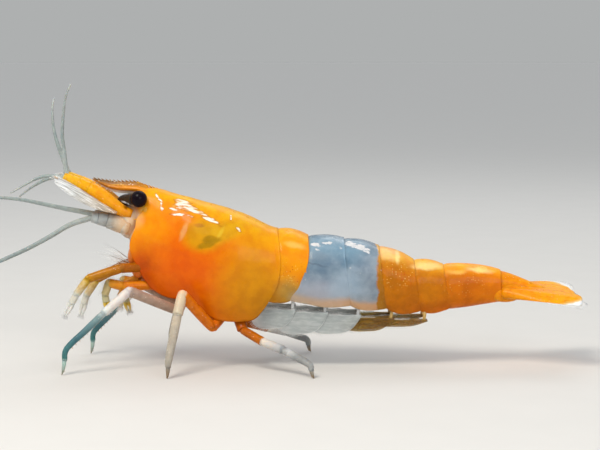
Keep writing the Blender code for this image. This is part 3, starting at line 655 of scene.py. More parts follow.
def make_scale_cuticle():
    """The antennal scale: frosted white chitin, combed with fine grey lines along it, and a brown rib."""
    material, tree, place = start_material(
        "scale_cuticle", Subsurface_Weight=0.35, Subsurface_Radius=(1.0, 0.9, 0.8),
        Subsurface_Scale=0.0002, Coat_Weight=0.2, Coat_Roughness=0.15, IOR=1.42,
        Specular_IOR_Level=0.3)
    along = add_node(tree, "ShaderNodeAttribute", output="Fac", attribute_name="along")
    turned = {"Vector": place, "Rotation": (0, math.radians(-30), 0)}
    lines = grain(tree, add_node(tree, "ShaderNodeMapping", turned), 0.06, 3.0, (0.10, 1.0, 1.0))
    colour = coloured_by(tree, along, [(0.0, "#c0905c"), (0.14, "#bcae9a"), (0.5, "#c6c8c6"),
                                       (1.0, "#d6dade")])
    colour = painted(tree, colour, lines, 0.50, 0.62, "#85827c", 0.65)
    colour = painted(tree, colour, lines, 0.46, 0.36, "#fbfdff", 0.60)
    rib = [("#96602e", (-9.45, 8.76), (0.95, 0.040), 32, 0.5, 0.75)]
    colour = patched(tree, colour, wobbled(tree, place, 0.3, 0.06), rib)
    rough = rising(tree, lines, 0.3, 0.7, 0.28, 0.45)
    return finish_material(material, lines, 0.012, Base_Color=colour, Roughness=rough)


# Colours along each limb, from its root to its tip.
LEG_COLOURS = {
    0: [(0.0, "#d8860c"), (0.4, "#d99c3a"), (0.7, "#c9b78e"), (1.0, "#d2d2c8")],
    1: [(0.0, "#d9780a"), (0.14, "#dc8410"), (0.34, "#d89224"), (0.48, "#bfae7c"), (0.78, "#b9b694"),
        (0.86, "#d8b02c"), (1.0, "#e6e2c8")],
    # the second legs are darker, partly their own colour and partly painted shade
    2: [(0.0, "#a05202"), (0.14, "#a86202"), (0.44, "#b67e02"), (0.50, "#c8a02c"), (0.58, "#cfccbe"),
        (1.0, "#e0e2e0")],
    3: [(0.0, "#c07e34"), (0.14, "#a88c78"), (0.40, "#a69286"), (0.45, "#dccac4"), (0.54, "#d8dcd8"),
        (0.62, "#7c969a"), (0.74, "#446e78"), (0.88, "#3f7877"), (0.95, "#a8c4be"), (1.0, "#7c7058")],
    # the fourth legs darken towards the tip, partly their own colour and partly painted shade
    4: [(0.0, "#cc6406"), (0.14, "#d06c06"), (0.38, "#d67606"), (0.45, "#e8c4a0"), (0.52, "#cbbda6"),
        (0.72, "#b0a99c"), (0.9, "#9f9b93"), (1.0, "#806846")],
    5: [(0.0, "#ac5202"), (0.14, "#b05a02"), (0.40, "#ba6802"), (0.46, "#eee2d2"), (0.52, "#b9bcbe"),
        (0.60, "#8d9194"), (0.66, "#c4c8ca"), (0.72, "#8a8e90"), (0.9, "#a4a8aa"), (1.0, "#84704e")],
}
GOLD_COLOURS = [(0.0, "#dc8c0c"), (0.3, "#e69c04"), (0.7, "#ecaa04"), (0.95, "#e2b026"),
                (1.0, "#d8c478")]
GLASSY_COLOURS = [(0.0, "#dcac7c"), (0.2, "#ccb090"), (0.36, "#a8a49c"), (0.6, "#a2a6a6"),
                  (1.0, "#b4bcbe")]
FEELER_COLOURS = [(0.0, "#a9b3b2"), (0.4, "#8c9a9b"), (1.0, "#a8b0b0")]
FAN_COLOURS = [(0.0, "#e08800"), (0.3, "#f09a00"), (0.60, "#f0a400"), (0.68, "#e8bc70"),
               (0.76, "#e8ecec"), (1.0, "#f2f8fa")]
FILM_COLOURS = [(0.0, "#b0b9b8"), (0.20, "#bcc5c4"), (0.5, "#f4f8f8"), (1.0, "#f8faf8")]
TINTED_FILM_COLOURS = [(0.0, "#6a4406"), (0.25, "#7c540e"), (0.6, "#b8883a"), (1.0, "#d0b070")]


def make_limb_shell(name, stops, gloss=0.22):
    """Thin chitin over a limb's flesh, glossy and a little see-through, coloured from root to tip."""
    material, tree, place = start_material(
        name, Subsurface_Weight=0.35, Subsurface_Radius=(1.0, 0.7, 0.45), Subsurface_Scale=0.00022,
        Coat_Weight=gloss, Coat_Roughness=0.12, IOR=1.42, Specular_IOR_Level=0.12 + 0.8 * gloss)
    along = add_node(tree, "ShaderNodeAttribute", output="Fac", attribute_name="along")
    cloud = grain(tree, place, 0.25, 4.0)
    links = {0: cloud, 1: 0.08, 2: along}
    shifted = add_node(tree, "ShaderNodeMath", links, operation="MULTIPLY_ADD")
    centred = add_node(tree, "ShaderNodeMath", {0: shifted, 1: 0.04}, operation="SUBTRACT")
    colour = coloured_by(tree, centred, stops)
    colour = mottled(tree, colour, cloud, 0.35, 0.65, "#6a4a2a", "#e8dcc8", 0.14)
    colour = speckled(tree, colour, place, 0.08, "#fff6e8", 0.10, 0.35)
    rough = rising(tree, cloud, 0.3, 0.7, 0.25, 0.42)
    pits = grain(tree, place, 0.07, 2.0)
    return finish_material(material, pits, 0.008, Base_Color=colour, Roughness=rough)


def make_film(name, stops, vein, depth):
    """Clear wet film, milky at its rims and veined, that lets what is behind it show through."""
    material, tree, place = start_material(
        name, Subsurface_Weight=0.5, Subsurface_Radius=(1, 1, 1), Subsurface_Scale=0.0003,
        Coat_Weight=0.28, Coat_Roughness=0.08, IOR=1.40, Specular_IOR_Level=0.28)
    along = add_node(tree, "ShaderNodeAttribute", output="Fac", attribute_name="along")
    veins = grain(tree, wobbled(tree, place, 0.5, 0.2), 0.12, 4.0, (0.22, 1.0, 1.0))
    colour = painted(tree, coloured_by(tree, along, stops), veins, 0.35, 0.75, vein, depth)
    return finish_material(
        material, veins, 0.012, Base_Color=colour, Alpha=rising(tree, along, 0.05, 0.55, 0.62, 0.95),
        Roughness=rising(tree, veins, 0.3, 0.7, 0.18, 0.32))


def make_bristle():
    """Setae: colourless chitin threads, white where they catch the light."""
    material, tree, _ = start_material(
        "setae", Roughness=0.35, Subsurface_Weight=0.3, Subsurface_Radius=(1, 1, 1),
        Subsurface_Scale=0.0001)
    along = add_node(tree, "ShaderNodeAttribute", output="Fac", attribute_name="along")
    stops = [(0.0, "#dad6cc"), (0.3, "#f2f2f0"), (1.0, "#fcfdfe")]
    return finish_material(material, Base_Color=coloured_by(tree, along, stops))


# ---------------------------------------------------------------- the shell

def shell_section(t):
    """Half width and height of a plate's section: t is 0 on the back, 0.5 at its widest, 1 at its margin."""
    if t <= 0.5:
        return round_section(t / 2, 2 / ROUNDNESS)
    fall = 2 * t - 1
    return 1 - MARGIN_TUCK * fall**2.2, -fall


def half_width(x):
    return read_line(BODY_HALF_WIDTH, x)


def lay_shell(front, rear, back, low, lift):
    """A function that lays u, v on a shell: u runs over the back between its margins, v to the rear."""
    def place(u, v):
        t = 2 * u - 1
        wide, high = shell_section(abs(t))
        z = (low(0.0, v) + back(0.0)) / 2
        for _ in range(EDGE_ROUNDS):
            x = front(z) * (1 - v) + rear(z) * v
            z = low(x, v) + (back(x) - low(x, v)) * (high + 1) / 2
        out = Vector((0, math.copysign(wide, t), max(high, -0.2))).normalized()
        return Vector((x, math.copysign(half_width(x) * wide, t), z)) + out * lift(abs(t), v, x, z)
    return place


def how_far_down(u, v):
    return abs(2 * u - 1)


def thicken(mesh, thickness):
    """Give an open shell a wall inward from its outer face."""
    bmesh.ops.recalc_face_normals(mesh, faces=mesh.faces)
    top = max(mesh.faces, key=lambda face: face.calc_center_median().z)
    if top.normal.z < 0:
        bmesh.ops.reverse_faces(mesh, faces=mesh.faces)
    bmesh.ops.solidify(mesh, geom=mesh.faces[:], thickness=thickness)


def carapace_relief(t, v, x, z):
    """Low swells over the stomach and gills, a groove between them, and a rolled edge all round."""
    swell = 0.035 * noise.noise(Vector((x * 0.9, t * 3.0, 4.0)))
    swell += 0.012 * noise.noise(Vector((x * 2.6, t * 8, 9.0)))
    groove = 0.05 * hump(x, -5.6 + 1.5 * t, 0.28)
    groove *= smooth_step(0.10, 0.3, t) * (1 - smooth_step(0.55, 0.8, t))
    ridge = 0.035 * hump(t, 0.46 + 0.02 * (x + 7), 0.035) * smooth_step(-2.0, -5.5, x)
    rim = 0.012 * hump(min(v, 1 - v), 0, 0.012) + 0.02 * hump(t, 1, 0.02)
    return swell - groove + ridge + rim


def rostrum_place(u, v):
    """The rostrum: a blade, deepest over the eyes, that widens and sinks into the carapace behind them."""
    x = ROSTRUM_TIP + ROSTRUM_LENGTH * v
    crest, keel_glint = read_line(ROSTRUM_CREST, x), read_line(ROSTRUM_KEEL, x)
    sink = 0.30 * smooth_step(-6.8, -5.3, x)
    shoulder = 0.06 + 0.20 * smooth_step(-9.2, -7.8, x) + 0.30 * smooth_step(-7.5, -5.8, x)
    wide, high = round_section(u)
    narrow = 0.30 + 0.70 * hump(high, -0.15, 0.45)
    end = rounding(v / 0.03)
    middle, reach = (crest + keel_glint) / 2, (crest - keel_glint) / 2
    return Vector((x, shoulder * wide * narrow * end, middle + reach * high * end - sink))


def make_carapace(material):
    """The carapace, as one shell plate."""
    place = lay_shell(
        front=lambda z: read_line(CARAPACE_FRONT, z),
        rear=lambda z: read_line(CARAPACE_REAR, z),
        back=lambda x: read_line(CARAPACE_BACK, x),
        low=lambda x, v: read_line(CARAPACE_BELLY, x),
        lift=carapace_relief)
    mesh = laid_grid(110, 96, place, how_far_down)
    thicken(mesh, SHELL_WALL)
    finish_piece("carapace_shell", mesh, material, ["carapace"])


def make_rostrum(material):
    """The toothed blade over the eyes, and the small spine under each of them."""
    blade = closed_skin(24, 90, rostrum_place, lambda u, v: (1 + math.cos(2 * math.pi * u)) / 2)
    for k in range(CREST_TEETH):
        x = -9.05 + 0.195 * k
        root = (x, 0, read_line(ROSTRUM_CREST, x) - 0.03)
        add_tooth(blade, root, unit(-0.78, 0, 0.62), 0.20, 0.05, 1.0)
    for k in range(KEEL_TEETH):
        x = -9.0 + 0.24 * k
        root = (x, 0, read_line(ROSTRUM_KEEL, x) + 0.03)
        add_tooth(blade, root, unit(-0.85, 0, -0.52), 0.13, 0.045, 0.1)
    for side in SIDES.values():
        ahead = unit(-0.95, side * 0.2, 0.12)
        add_tooth(blade, (-6.95, side * 0.96, 7.42), ahead, 0.20, 0.045, 0.5)
    finish_piece("rostrum_blade", blade, material, ["rostrum"])


def ring_edge(number):
    """The edge behind abdomen ring `number`, as a function of z. Number 0 is the carapace's."""
    if number < 2:
        return lambda z: read_line((CARAPACE_REAR, FIRST_RING_REAR)[number], z)
    x, top = RING_JOINTS[number]
    low = read_line(ABDOMEN_BELLY, x)
    sweep_back = PLEURON_SWEEP if number < LAST_RING else 0.0
    return lambda z: x + sweep_back * min(max((top - z) / (top - low), 0.0), 1.0)**2


def tucked_under(number, z):
    """How far a ring's front edge lies under the ring in front, at one height."""
    return smooth_step(0.0, SWITCH_FADE, z - SWITCH_HEIGHT) if number == 2 else 1.0


def tucked_behind(number, z):
    """How far a ring's rear edge lies under the ring behind, at one height: only the first one's does."""
    return smooth_step(0.0, SWITCH_FADE, SWITCH_HEIGHT - z) if number == 1 else 0.0


def make_ring(number, material):
    """One ring of the abdomen: arched over the back, lobed at the sides, lying over the ring behind it."""
    (x0, z0), (x1, z1) = RING_JOINTS[number - 1], RING_JOINTS[number]
    front, rear = ring_edge(number - 1), ring_edge(number)
    is_last = number == LAST_RING

    def share(x):
        return min(max((x - x0) / (x1 - x0), 0.0), 1.0)

    def back(x):
        s = share(x)
        arch = math.sin(math.pi * s)**(LAST_RING_FLATNESS if is_last else 1.0)
        return z0 + (z1 - z0) * s + RING_ARCH[number - 1] * arch + RING_LIP * s

    def low(x, v):
        lobe = PLEURON_LOBE * math.sin(math.pi * share(x))
        corner = 0.30 * (1 - math.sin(math.pi * min(max(v, 0.0), 1.0))**0.35)
        return read_line(ABDOMEN_BELLY, x) - (0.0 if is_last else lobe - corner)

    def lift(t, v, x, z):
        start = (1 - smooth_step(0.10, 0.22, v)) * tucked_under(number, z)
        end = smooth_step(0.74, 0.86, v) * tucked_behind(number, z)
        rim = 0.012 * hump(v, 1, 0.03) + 0.02 * hump(t, 1, 0.02)
        swell = 0.015 * noise.noise(Vector((x * 1.3, t * 3, number * 5.0)))
        fold = 0.02 * smooth_step(0.45, 0.95, v) * hump(t, 0.1, 0.25)
        return -RING_SINK * max(start, end) + rim + swell + fold

    if is_last:
        mesh = closed_skin(56, 60, last_ring_place(front, rear, back, low), lambda u, v: min(u, 1 - u) * 2)
    else:
        mesh = laid_grid(80, 40, lay_shell(
            front=lambda z: front(z) - UNDERLAP * tucked_under(number, z),
            rear=lambda z: rear(z) + UNDERLAP * tucked_behind(number, z),
            back=back, low=low, lift=lift), how_far_down)
        thicken(mesh, SHELL_WALL)
    finish_piece(f"abdomen_plate_{number}", mesh, material, [f"abdomen_{number}"])


def last_ring_place(front, rear, back, low):
    """The sixth ring is a closed tube, with a hollow end that the tail fan grows from."""
    start, end = front(5.0) - UNDERLAP, rear(5.0) + 0.05

    def place(u, v):
        upper = math.cos(2 * math.pi * u) > 0
        wide, high = round_section(u, 2 / (ROUNDNESS if upper else LAST_RING_KEEL))
        x0 = start + 0.25 * (1 - high) / 2
        x = x0 + (end - x0) * min(v / 0.94, 1.0)
        shrink = 1 - 0.35 * smooth_step(0.94, 1.0, v) - RING_SINK * (1 - smooth_step(0.05, 0.14, v))
        rim = 0.008 * hump(v, 0.93, 0.02)
        bottom, top = low(x, v), back(x)
        middle, reach = (bottom + top) / 2, (top - bottom) / 2
        return Vector((x - 0.5 * smooth_step(0.94, 1.0, v), (half_width(x) * shrink + rim) * wide,
                       middle + (reach * shrink + rim) * high))
    return place


# ---------------------------------------------------------------- hairs

FRINGE_ROWS = 72            # rows in the hairs' unwrap, one for each margin or brush that bears them
PATCH = 0.003               # how much of the unwrap one hair takes
BRUSH_TURN = 2.4            # radians from each hair of a brush to the next, which spreads them evenly
fringe_rows = itertools.count()


def new_hairs():
    mesh = new_mesh()
    mesh.loops.layers.uv.new("OFBake")
    return mesh


def next_row():
    return (next(fringe_rows) + 0.5) / FRINGE_ROWS


def wander(reach):
    """A small random change of direction."""
    return Vector([random.uniform(-reach, reach) for _ in range(3)])


# Bristles are drawn coarser than life, so that they show at this size.
def add_hair(mesh, root, ahead, length, radius, droop, patch):
    """One tapering bristle that bends towards `droop`. Its faces all read one patch of the unwrap."""
    ahead, droop = ahead.normalized(), Vector(droop)
    middle = root + ahead * length * 0.5 + droop * length * 0.12
    tip = root + ahead * length * 0.95 + droop * length * 0.42
    before = len(mesh.faces)
    add_rod(mesh, [(root - ahead * 0.03, radius), (middle, radius * 0.8), (tip, radius * 0.2)], sides=3)
    mesh.faces.ensure_lookup_table()
    layer = mesh.loops.layers.uv["OFBake"]
    for face in mesh.faces[before:]:
        for k, loop in enumerate(face.loops):
            corner = ((k % 2) - 0.5, (k // 2 % 2) - 0.5)
            loop[layer].uv = (patch[0] + corner[0] * PATCH, patch[1] + corner[1] * PATCH)


def add_fringe(target, place, count, length, start=0.15, sides=(1, 0), radius=0.014, droop=(0, 0, 0)):
    """A comb of bristles round a blade's margin, from `start` along one side, over the tip and back."""
    mesh = new_hairs()
    row = next_row()
    for k in range(count):
        s = (k + random.uniform(0.2, 0.8)) / count
        if s < 0.44:
            u, v = 1.0, start + (1 - start) * s / 0.44
        elif s < 0.56:
            u, v = 1 - (s - 0.44) / 0.12, 1.0
        else:
            u, v = 0.0, start + (1 - start) * (1 - s) / 0.44
        if (u == 1.0 and 1 not in sides) or (u == 0.0 and 0 not in sides):
            continue
        root = place(u, v)
        out = (root - place(0.5, max(v - 0.16, 0.0))).normalized()
        fullness = 0.55 + 0.45 * math.sin(math.pi * min(s * 1.02, 1.0))
        reach = length * random.uniform(0.75, 1.1) * fullness
        add_hair(mesh, root, out + wander(0.07), reach, radius, droop, (0.02 + 0.96 * s, row))
    add_mesh(target, mesh)


def add_brush(target, root, ahead, count, length, spread_out, radius=0.013):
    """A tuft of bristles fanning out from a fingertip."""
    mesh = new_hairs()
    row = next_row()
    root, ahead = Vector(root), Vector(ahead).normalized()
    for k in range(count):
        side = Matrix.Rotation(BRUSH_TURN * k, 3, ahead) @ ahead.orthogonal().normalized()
        lean = spread_out * math.sqrt((k + 0.5) / count)
        out = ahead + side * lean
        add_hair(mesh, root + side * 0.04, out, length * random.uniform(0.7, 1.05), radius,
                 (0, 0, -0.3), (0.02 + 0.96 * k / count, row))
    add_mesh(target, mesh)


def add_side_hairs(target, route, count, length, direction, radius=0.010):
    """Short bristles standing off one side of a limb."""
    mesh = new_hairs()
    row = next_row()
    places = [Vector(point) for point in route]
    for k in range(count):
        root, ahead = point_on(places, (k + 0.5) / count)
        out = Vector(direction) + ahead * 0.7 + wander(0.25)
        add_hair(mesh, root, out, length * random.uniform(0.7, 1.1), radius, ahead * 0.3,
                 (0.02 + 0.96 * k / count, row))
    add_mesh(target, mesh)


# ---------------------------------------------------------------- the head

HEAD_FORMS = [((-7.42, 0, 7.32), (0.64, 0.80, 0.95)), ((-7.50, 0, 8.30), (0.52, 0.36, 0.30)),
              ((-7.00, 0, 6.30), (0.42, 0.85, 1.00)), ((-6.72, 0, 5.20), (0.42, 0.70, 1.00)),
              ((-6.50, 0, 7.75), (0.62, 1.02, 0.78)), ((-6.55, 0, 6.10), (0.50, 1.02, 1.45))]
EYESTALK_ROUTE = [(-7.70, 0.20, 8.38), (-7.55, 0.48, 8.36), (-7.36, 0.68, 8.36), (-7.08, 0.86, 8.40)]
EYESTALK_RADII = (0.20, 0.21, 0.25, 0.36)
EYE_RADIUS = 0.415
EYE_SHIFT = Vector((0.10, 0.0, 0.095))   # from the solid's centre to where the ball shows best in its orbit
SKIN_VOXEL = 0.035
FLESH_START = -6.9
FLESH_LENGTH = 17.9
ANTENNULE_ROUTE = [(-7.22, 0.62, 7.66), (-7.68, 0.57, 7.80), (-8.08, 0.51, 8.04), (-8.5, 0.45, 8.36),
                   (-8.95, 0.43, 8.68), (-9.4, 0.44, 8.94), (-9.9, 0.44, 9.18), (-10.62, 0.45, 9.50)]
ANTENNULE_RADII = (0.26, 0.30, 0.34, 0.38, 0.39, 0.36)
ANTENNA_ROUTE = [(-7.35, 0.46, 6.98), (-7.9, 0.50, 7.16), (-8.45, 0.53, 7.34), (-8.9, 0.57, 7.45),
                 (-9.24, 0.60, 7.50)]
ANTENNA_RADII = (0.42, 0.43, 0.38)
FEELERS = {
    "antennule_flagellum_inner_left": [
        (-10.48, -0.45, 9.60), (-10.58, -0.47, 10.8), (-10.65, -0.52, 11.6), (-10.56, -0.62, 12.6),
        (-10.42, -0.74, 13.45), (-10.15, -0.85, 14.1)],
    "antennule_flagellum_inner_right": [
        (-10.48, 0.45, 9.60), (-10.95, 0.66, 10.75), (-11.27, 0.95, 11.75), (-11.38, 1.25, 12.75),
        (-11.32, 1.5, 13.35)],
    "antennule_flagellum_outer_left": [
        (-10.55, -0.46, 9.44), (-11.35, -0.55, 9.55), (-11.95, -0.7, 9.42), (-12.55, -0.9, 9.1),
        (-13.15, -1.15, 8.75)],
    "antennule_flagellum_outer_right": [
        (-10.55, 0.46, 9.44), (-11.35, 0.6, 9.38), (-11.95, 0.85, 9.15), (-12.55, 1.15, 8.8),
        (-13.15, 1.5, 8.35)],
}
LONG_FEELERS = {
    "antenna_flagellum_left": [
        (-9.15, -0.60, 7.5), (-10.2, -1.15, 7.2), (-11.1, -2.05, 6.7), (-12.1, -3.2, 6.2),
        (-13.5, -4.6, 5.65), (-15.2, -6.0, 5.1), (-17.1, -7.2, 4.6), (-19.1, -8.0, 4.3),
        (-21.05, -8.4, 4.2)],
    "antenna_flagellum_right": [
        (-9.15, 0.60, 7.52), (-10.2, 1.15, 7.66), (-11.2, 2.0, 7.74), (-12.4, 3.1, 7.86),
        (-13.9, 4.5, 7.96), (-15.6, 5.8, 7.9), (-17.4, 6.9, 7.5), (-19.2, 7.7, 6.8),
        (-20.75, 8.2, 5.9)],
}
FEELER_RING = 0.16          # the length of one ring of a feeler
SCALE_LINE = [(-7.95, 0.90, 7.74), (-8.70, 0.98, 8.06), (-9.5, 1.00, 8.50), (-10.2, 0.98, 8.93),
              (-10.75, 0.96, 9.26), (-11.02, 0.95, 9.42)]
SCALE_HALF_WIDTHS = (0.05, 0.28, 0.40, 0.38, 0.26, 0.13)
SCALE_TILT = math.radians(38)
# How thick an article is along its length, as a share of its own radius.
ARTICLE = [(0.0, 0.86), (0.05, 0.95), (0.16, 1.0), (0.50, 1.01), (0.84, 0.99), (0.93, 1.02),
           (0.98, 1.0), (1.0, 0.86)]
BEND_MARKS = {k / 12 for k in range(13)}    # extra stations, so that a bent article follows its bend


def fused(mesh, voxel):
    """One continuous skin over overlapping forms."""
    data = bpy.data.meshes.new("fusing")
    mesh.to_mesh(data)
    mesh.free()
    form = bpy.data.objects.new("fusing", data)
    bpy.context.scene.collection.objects.link(form)
    remesh = form.modifiers.new("remesh", "REMESH")
    remesh.mode = "VOXEL"
    remesh.voxel_size = voxel
    form.modifiers.new("smooth", "SMOOTH").iterations = 6
    result = new_mesh()
    skin = form.evaluated_get(bpy.context.evaluated_depsgraph_get())
    result.from_mesh(skin.to_mesh())
    skin.to_mesh_clear()
    bpy.data.objects.remove(form)
    bpy.data.meshes.remove(data)
    return result


def make_head(material):
    """The flesh between the eyes, the eyestalks and the mouth parts, as one skin."""
    mesh = new_mesh()
    for centre, radii in HEAD_FORMS:
        add_ball(mesh, centre, radii)
    for side in SIDES.values():
        add_rod(mesh, list(zip(mirrored(EYESTALK_ROUTE, side), EYESTALK_RADII)), sides=16)
        add_ball(mesh, (-7.62, side * 0.48, 7.05), (0.46, 0.44, 0.42))
        add_ball(mesh, (-7.10, side * 0.50, 5.75), (0.34, 0.32, 0.62), (0, 0.35, 0))
        add_ball(mesh, (-6.95, side * 0.55, 4.95), (0.34, 0.30, 0.50), (0, 0.1, 0))
    nodes = ["head", "eyestalk_left", "eyestalk_right"]
    finish_piece("head_flesh", fused(mesh, SKIN_VOXEL), material, nodes)


def make_body_flesh(material):
    """The muscle and belly skin that the shell plates wrap, closed underneath between the legs."""
    def blended(thorax, tail, share, x):
        return read_line(thorax, x) * (1 - share) + read_line(tail, x) * share

    def place(u, v):
        x = FLESH_START + FLESH_LENGTH * v
        wide, tall = round_section(u, 0.85)
        bottom = blended(CARAPACE_BELLY, ABDOMEN_BELLY, smooth_step(-1.6, 0.4, x), x) + 0.22
        top = blended(CARAPACE_BACK, RING_JOINTS, smooth_step(-0.5, 0.5, x), x) - 0.35
        end = rounding(v / 0.05) * rounding((1 - v) / 0.03)
        fold = 1 - 0.02 * (0.5 + 0.5 * math.cos(2 * math.pi * (x - 0.7) / 1.65)) * smooth_step(0, 1, x)
        middle, reach = (bottom + top) / 2, (top - bottom) / 2
        return Vector((x, half_width(x) * 0.84 * wide * end * fold, middle + reach * tall * end * fold))
    finish_piece("body_flesh", closed_skin(40, 130, place), material)


def make_eye(label, side, material):
    """A polished ball at the end of its stalk."""
    mesh = new_mesh()
    x, y, z = EYE_LEFT + EYE_SHIFT
    bmesh.ops.create_uvsphere(mesh, u_segments=48, v_segments=32, radius=EYE_RADIUS,
                              matrix=Matrix.Translation((x, -y * side, z)))
    finish_piece(f"eye_ball_{label}", mesh, material, [f"eye_{label}"])


def add_article(mesh, route, radii, share, sides=14, flat=1.0):
    """One article of a limb: narrow where it starts, with a raised collar where the next one joins it."""
    bent = len(route) > 2
    line = smooth_route(route, 6) if bent else [Vector(point) for point in route]
    marks = {along for along, _ in ARTICLE} | (BEND_MARKS if bent else set())
    table = evenly(radii)
    stations = [(point_on(line, along)[0], read_line(table, along) * read_line(ARTICLE, along))
                for along in sorted(marks)]
    add_rod(mesh, stations, sides, flat, share)


def make_antennule(label, side, gold):
    """The antennule's stalk: three golden articles, the first one long and hollowed under the eye."""
    mesh = new_mesh()
    route = mirrored(ANTENNULE_ROUTE, side)
    add_article(mesh, route[:6], ANTENNULE_RADII, (0.0, 0.55), 18)
    add_article(mesh, [route[5].lerp(route[4], 0.15), route[6]], (0.345, 0.33), (0.55, 0.78), 18)
    add_article(mesh, [route[6].lerp(route[5], 0.15), route[7]], (0.32, 0.26), (0.78, 1.0), 18)
    add_tooth(mesh, (-8.3, side * 0.74, 8.02), unit(-0.85, side * 0.12, 0.5), 0.75, 0.10)
    finish_piece(f"antennule_stalk_{label}", mesh, gold, [f"antennule_peduncle_{label}"])


def make_antenna_base(label, side, glassy):
    """The long feeler's stalk: three glassy articles, and a spine at their outer corner."""
    mesh = new_mesh()
    route = mirrored(ANTENNA_ROUTE, side)
    add_article(mesh, route[:3], ANTENNA_RADII, (0.0, 0.5), 18)
    add_article(mesh, route[2:4], (0.36, 0.33), (0.5, 0.75), 18)
    add_article(mesh, route[3:], (0.31, 0.26), (0.75, 1.0), 18)
    add_tooth(mesh, (-8.2, side * 0.82, 7.04), unit(-0.9, side * 0.2, 0.05), 0.26, 0.07, 0.5)
    finish_piece(f"antenna_stalk_{label}", mesh, glassy, [f"antenna_peduncle_{label}"])


def make_feeler(name, route, radii, nodes, material):
    """A feeler of short rings, thinning to a thread."""
    line = smooth_route(route, 40)
    length = sum((b - a).length for a, b in zip(line, line[1:]))
    last = round(length / FEELER_RING) * 2
    stations = []
    for k in range(last + 1):
        radius = radii[0] + (radii[1] - radii[0]) * (k / last)**0.8
        stations.append((point_on(line, k / last)[0], radius * (1.07 if k % 2 else 0.93)))
    mesh = new_mesh()
    add_rod(mesh, stations, sides=8)
    finish_piece(name, mesh, material, nodes)


def leaf_place(line, half_widths, tilt, camber, rib_at=None, roll=0.0, tip=0.14):
    """A function that lays u, v on a thin leaf: u runs across it, v to its tip, and depth through it."""
    centres = smooth_route(line, 8)
    table = evenly(half_widths)

    def place(u, v, depth=0.0):
        centre, ahead = point_on(centres, v)
        level = ahead.cross(Vector((0, 0, 1))).normalized()
        across = Matrix.Rotation(tilt, 3, ahead) @ level
        up = across.cross(ahead).normalized()
        taper = rounding((1 - v) / tip)
        wide = read_line(table, v) * taper
        s = 2 * u - 1
        lift = camber * (1 - s * s) * wide + depth * taper
        if rib_at is not None:
            lift += math.copysign(0.04, depth) * hump(s, rib_at, 0.10) * taper * (abs(s) < 1)
        point = centre + across * wide * s + up * lift
        return Vector((point.x, point.y, point.z + point.y * math.tan(roll)))
    return place


def add_leaf(mesh, place, root_depth, tip_depth, tone=None):
    """A closed leaf with a lens section, thick at its root and thin at its tip."""
    def skin(u, v):
        angle = 2 * math.pi * u
        depth = root_depth + (tip_depth - root_depth) * smooth_step(0.0, 0.6, v)
        return place((1 - math.cos(angle)) / 2, v, depth * math.sin(angle))
    add_mesh(mesh, closed_skin(32, 40, skin, tone))


def make_scale(label, side, material, hairs):
    """The antennal scale: a stiff upper edge that ends in a spine, and a soft lower one with a fringe."""
    line = mirrored(SCALE_LINE, side)
    place = leaf_place(line, SCALE_HALF_WIDTHS, side * SCALE_TILT, side * -0.10, side * 0.72)
    mesh = new_mesh()
    add_leaf(mesh, place, 0.06, 0.03)
    add_tooth(mesh, line[-1] + Vector((0.15, 0, 0.06)), (-0.87, 0, 0.5), 0.22, 0.05)
    finish_piece(f"scale_blade_{label}", mesh, material, [f"antennal_scale_{label}"])
    soft = 0 if side > 0 else 1
    add_fringe(hairs, place, 210, 0.32, 0.12, (soft,), 0.013, (0.25, 0, -0.2))


# ---------------------------------------------------------------- legs

LEGS = {
    "leg_1_left": [(-6.78, -0.82, 3.93), (-7.7, -0.82, 4.08), (-8.4, -0.82, 4.25), (-8.6, -0.82, 3.65),
                   (-8.45, -0.80, 2.80)],
    "leg_1_right": [(-6.78, 0.82, 3.93), (-7.3, 0.82, 4.04), (-7.85, 0.82, 4.18), (-7.82, 0.82, 3.45),
                    (-7.55, 0.82, 2.50)],
    "leg_2_left": [(-7.02, -0.86, 4.86), (-7.75, -1.08, 5.02), (-9.35, -1.30, 4.52), (-9.95, -1.35, 3.75),
                   (-10.55, -1.35, 2.65)],
    "leg_2_right": [(-7.02, 0.86, 4.86), (-7.75, 1.08, 4.96), (-9.25, 1.30, 4.15), (-9.8, 1.30, 3.3),
                    (-10.1, 1.25, 2.25)],
    "leg_3_left": [(-4.75, -0.85, 3.22), (-4.95, -0.95, 2.86), (-7.3, -1.85, 3.98), (-8.5, -2.30, 2.95),
                   (-10.25, -2.85, 1.30), (-10.5, -2.95, 0.0)],
    "leg_3_right": [(-4.75, 0.85, 3.22), (-4.95, 0.95, 2.86), (-7.0, 1.85, 3.82), (-8.1, 2.25, 2.80),
                    (-9.6, 2.75, 1.20), (-9.8, 2.85, 0.0)],
    "leg_4_left": [(-2.85, -0.90, 2.28), (-3.25, -1.35, 2.10), (-4.65, -2.35, 3.88), (-4.85, -2.80, 2.95),
                   (-5.22, -3.70, 0.95), (-5.3, -3.85, 0.0)],
    "leg_4_right": [(-2.85, 0.90, 2.28), (-3.25, 1.35, 2.10), (-4.85, 2.35, 3.82), (-5.1, 2.80, 2.90),
                    (-5.62, 3.60, 0.95), (-5.72, 3.75, 0.0)],
    "leg_5_left": [(-1.95, -0.90, 2.26), (-1.75, -1.15, 1.94), (-0.75, -1.90, 1.48), (0.25, -2.60, 1.20),
                   (1.55, -3.60, 0.66), (1.78, -3.76, 0.0)],
    "leg_5_right": [(-1.95, 0.90, 2.26), (-1.75, 1.15, 1.94), (-0.60, 1.90, 1.54), (0.35, 2.50, 1.24),
                    (1.45, 3.30, 0.68), (1.66, 3.45, 0.0)],
}
FEEDING_LEGS = (1, 2)
STOUTNESS = {3: (0.95, 0.90), 4: (1.0, 1.18), 5: (0.84, 1.06)}     # of each leg's thigh and shin
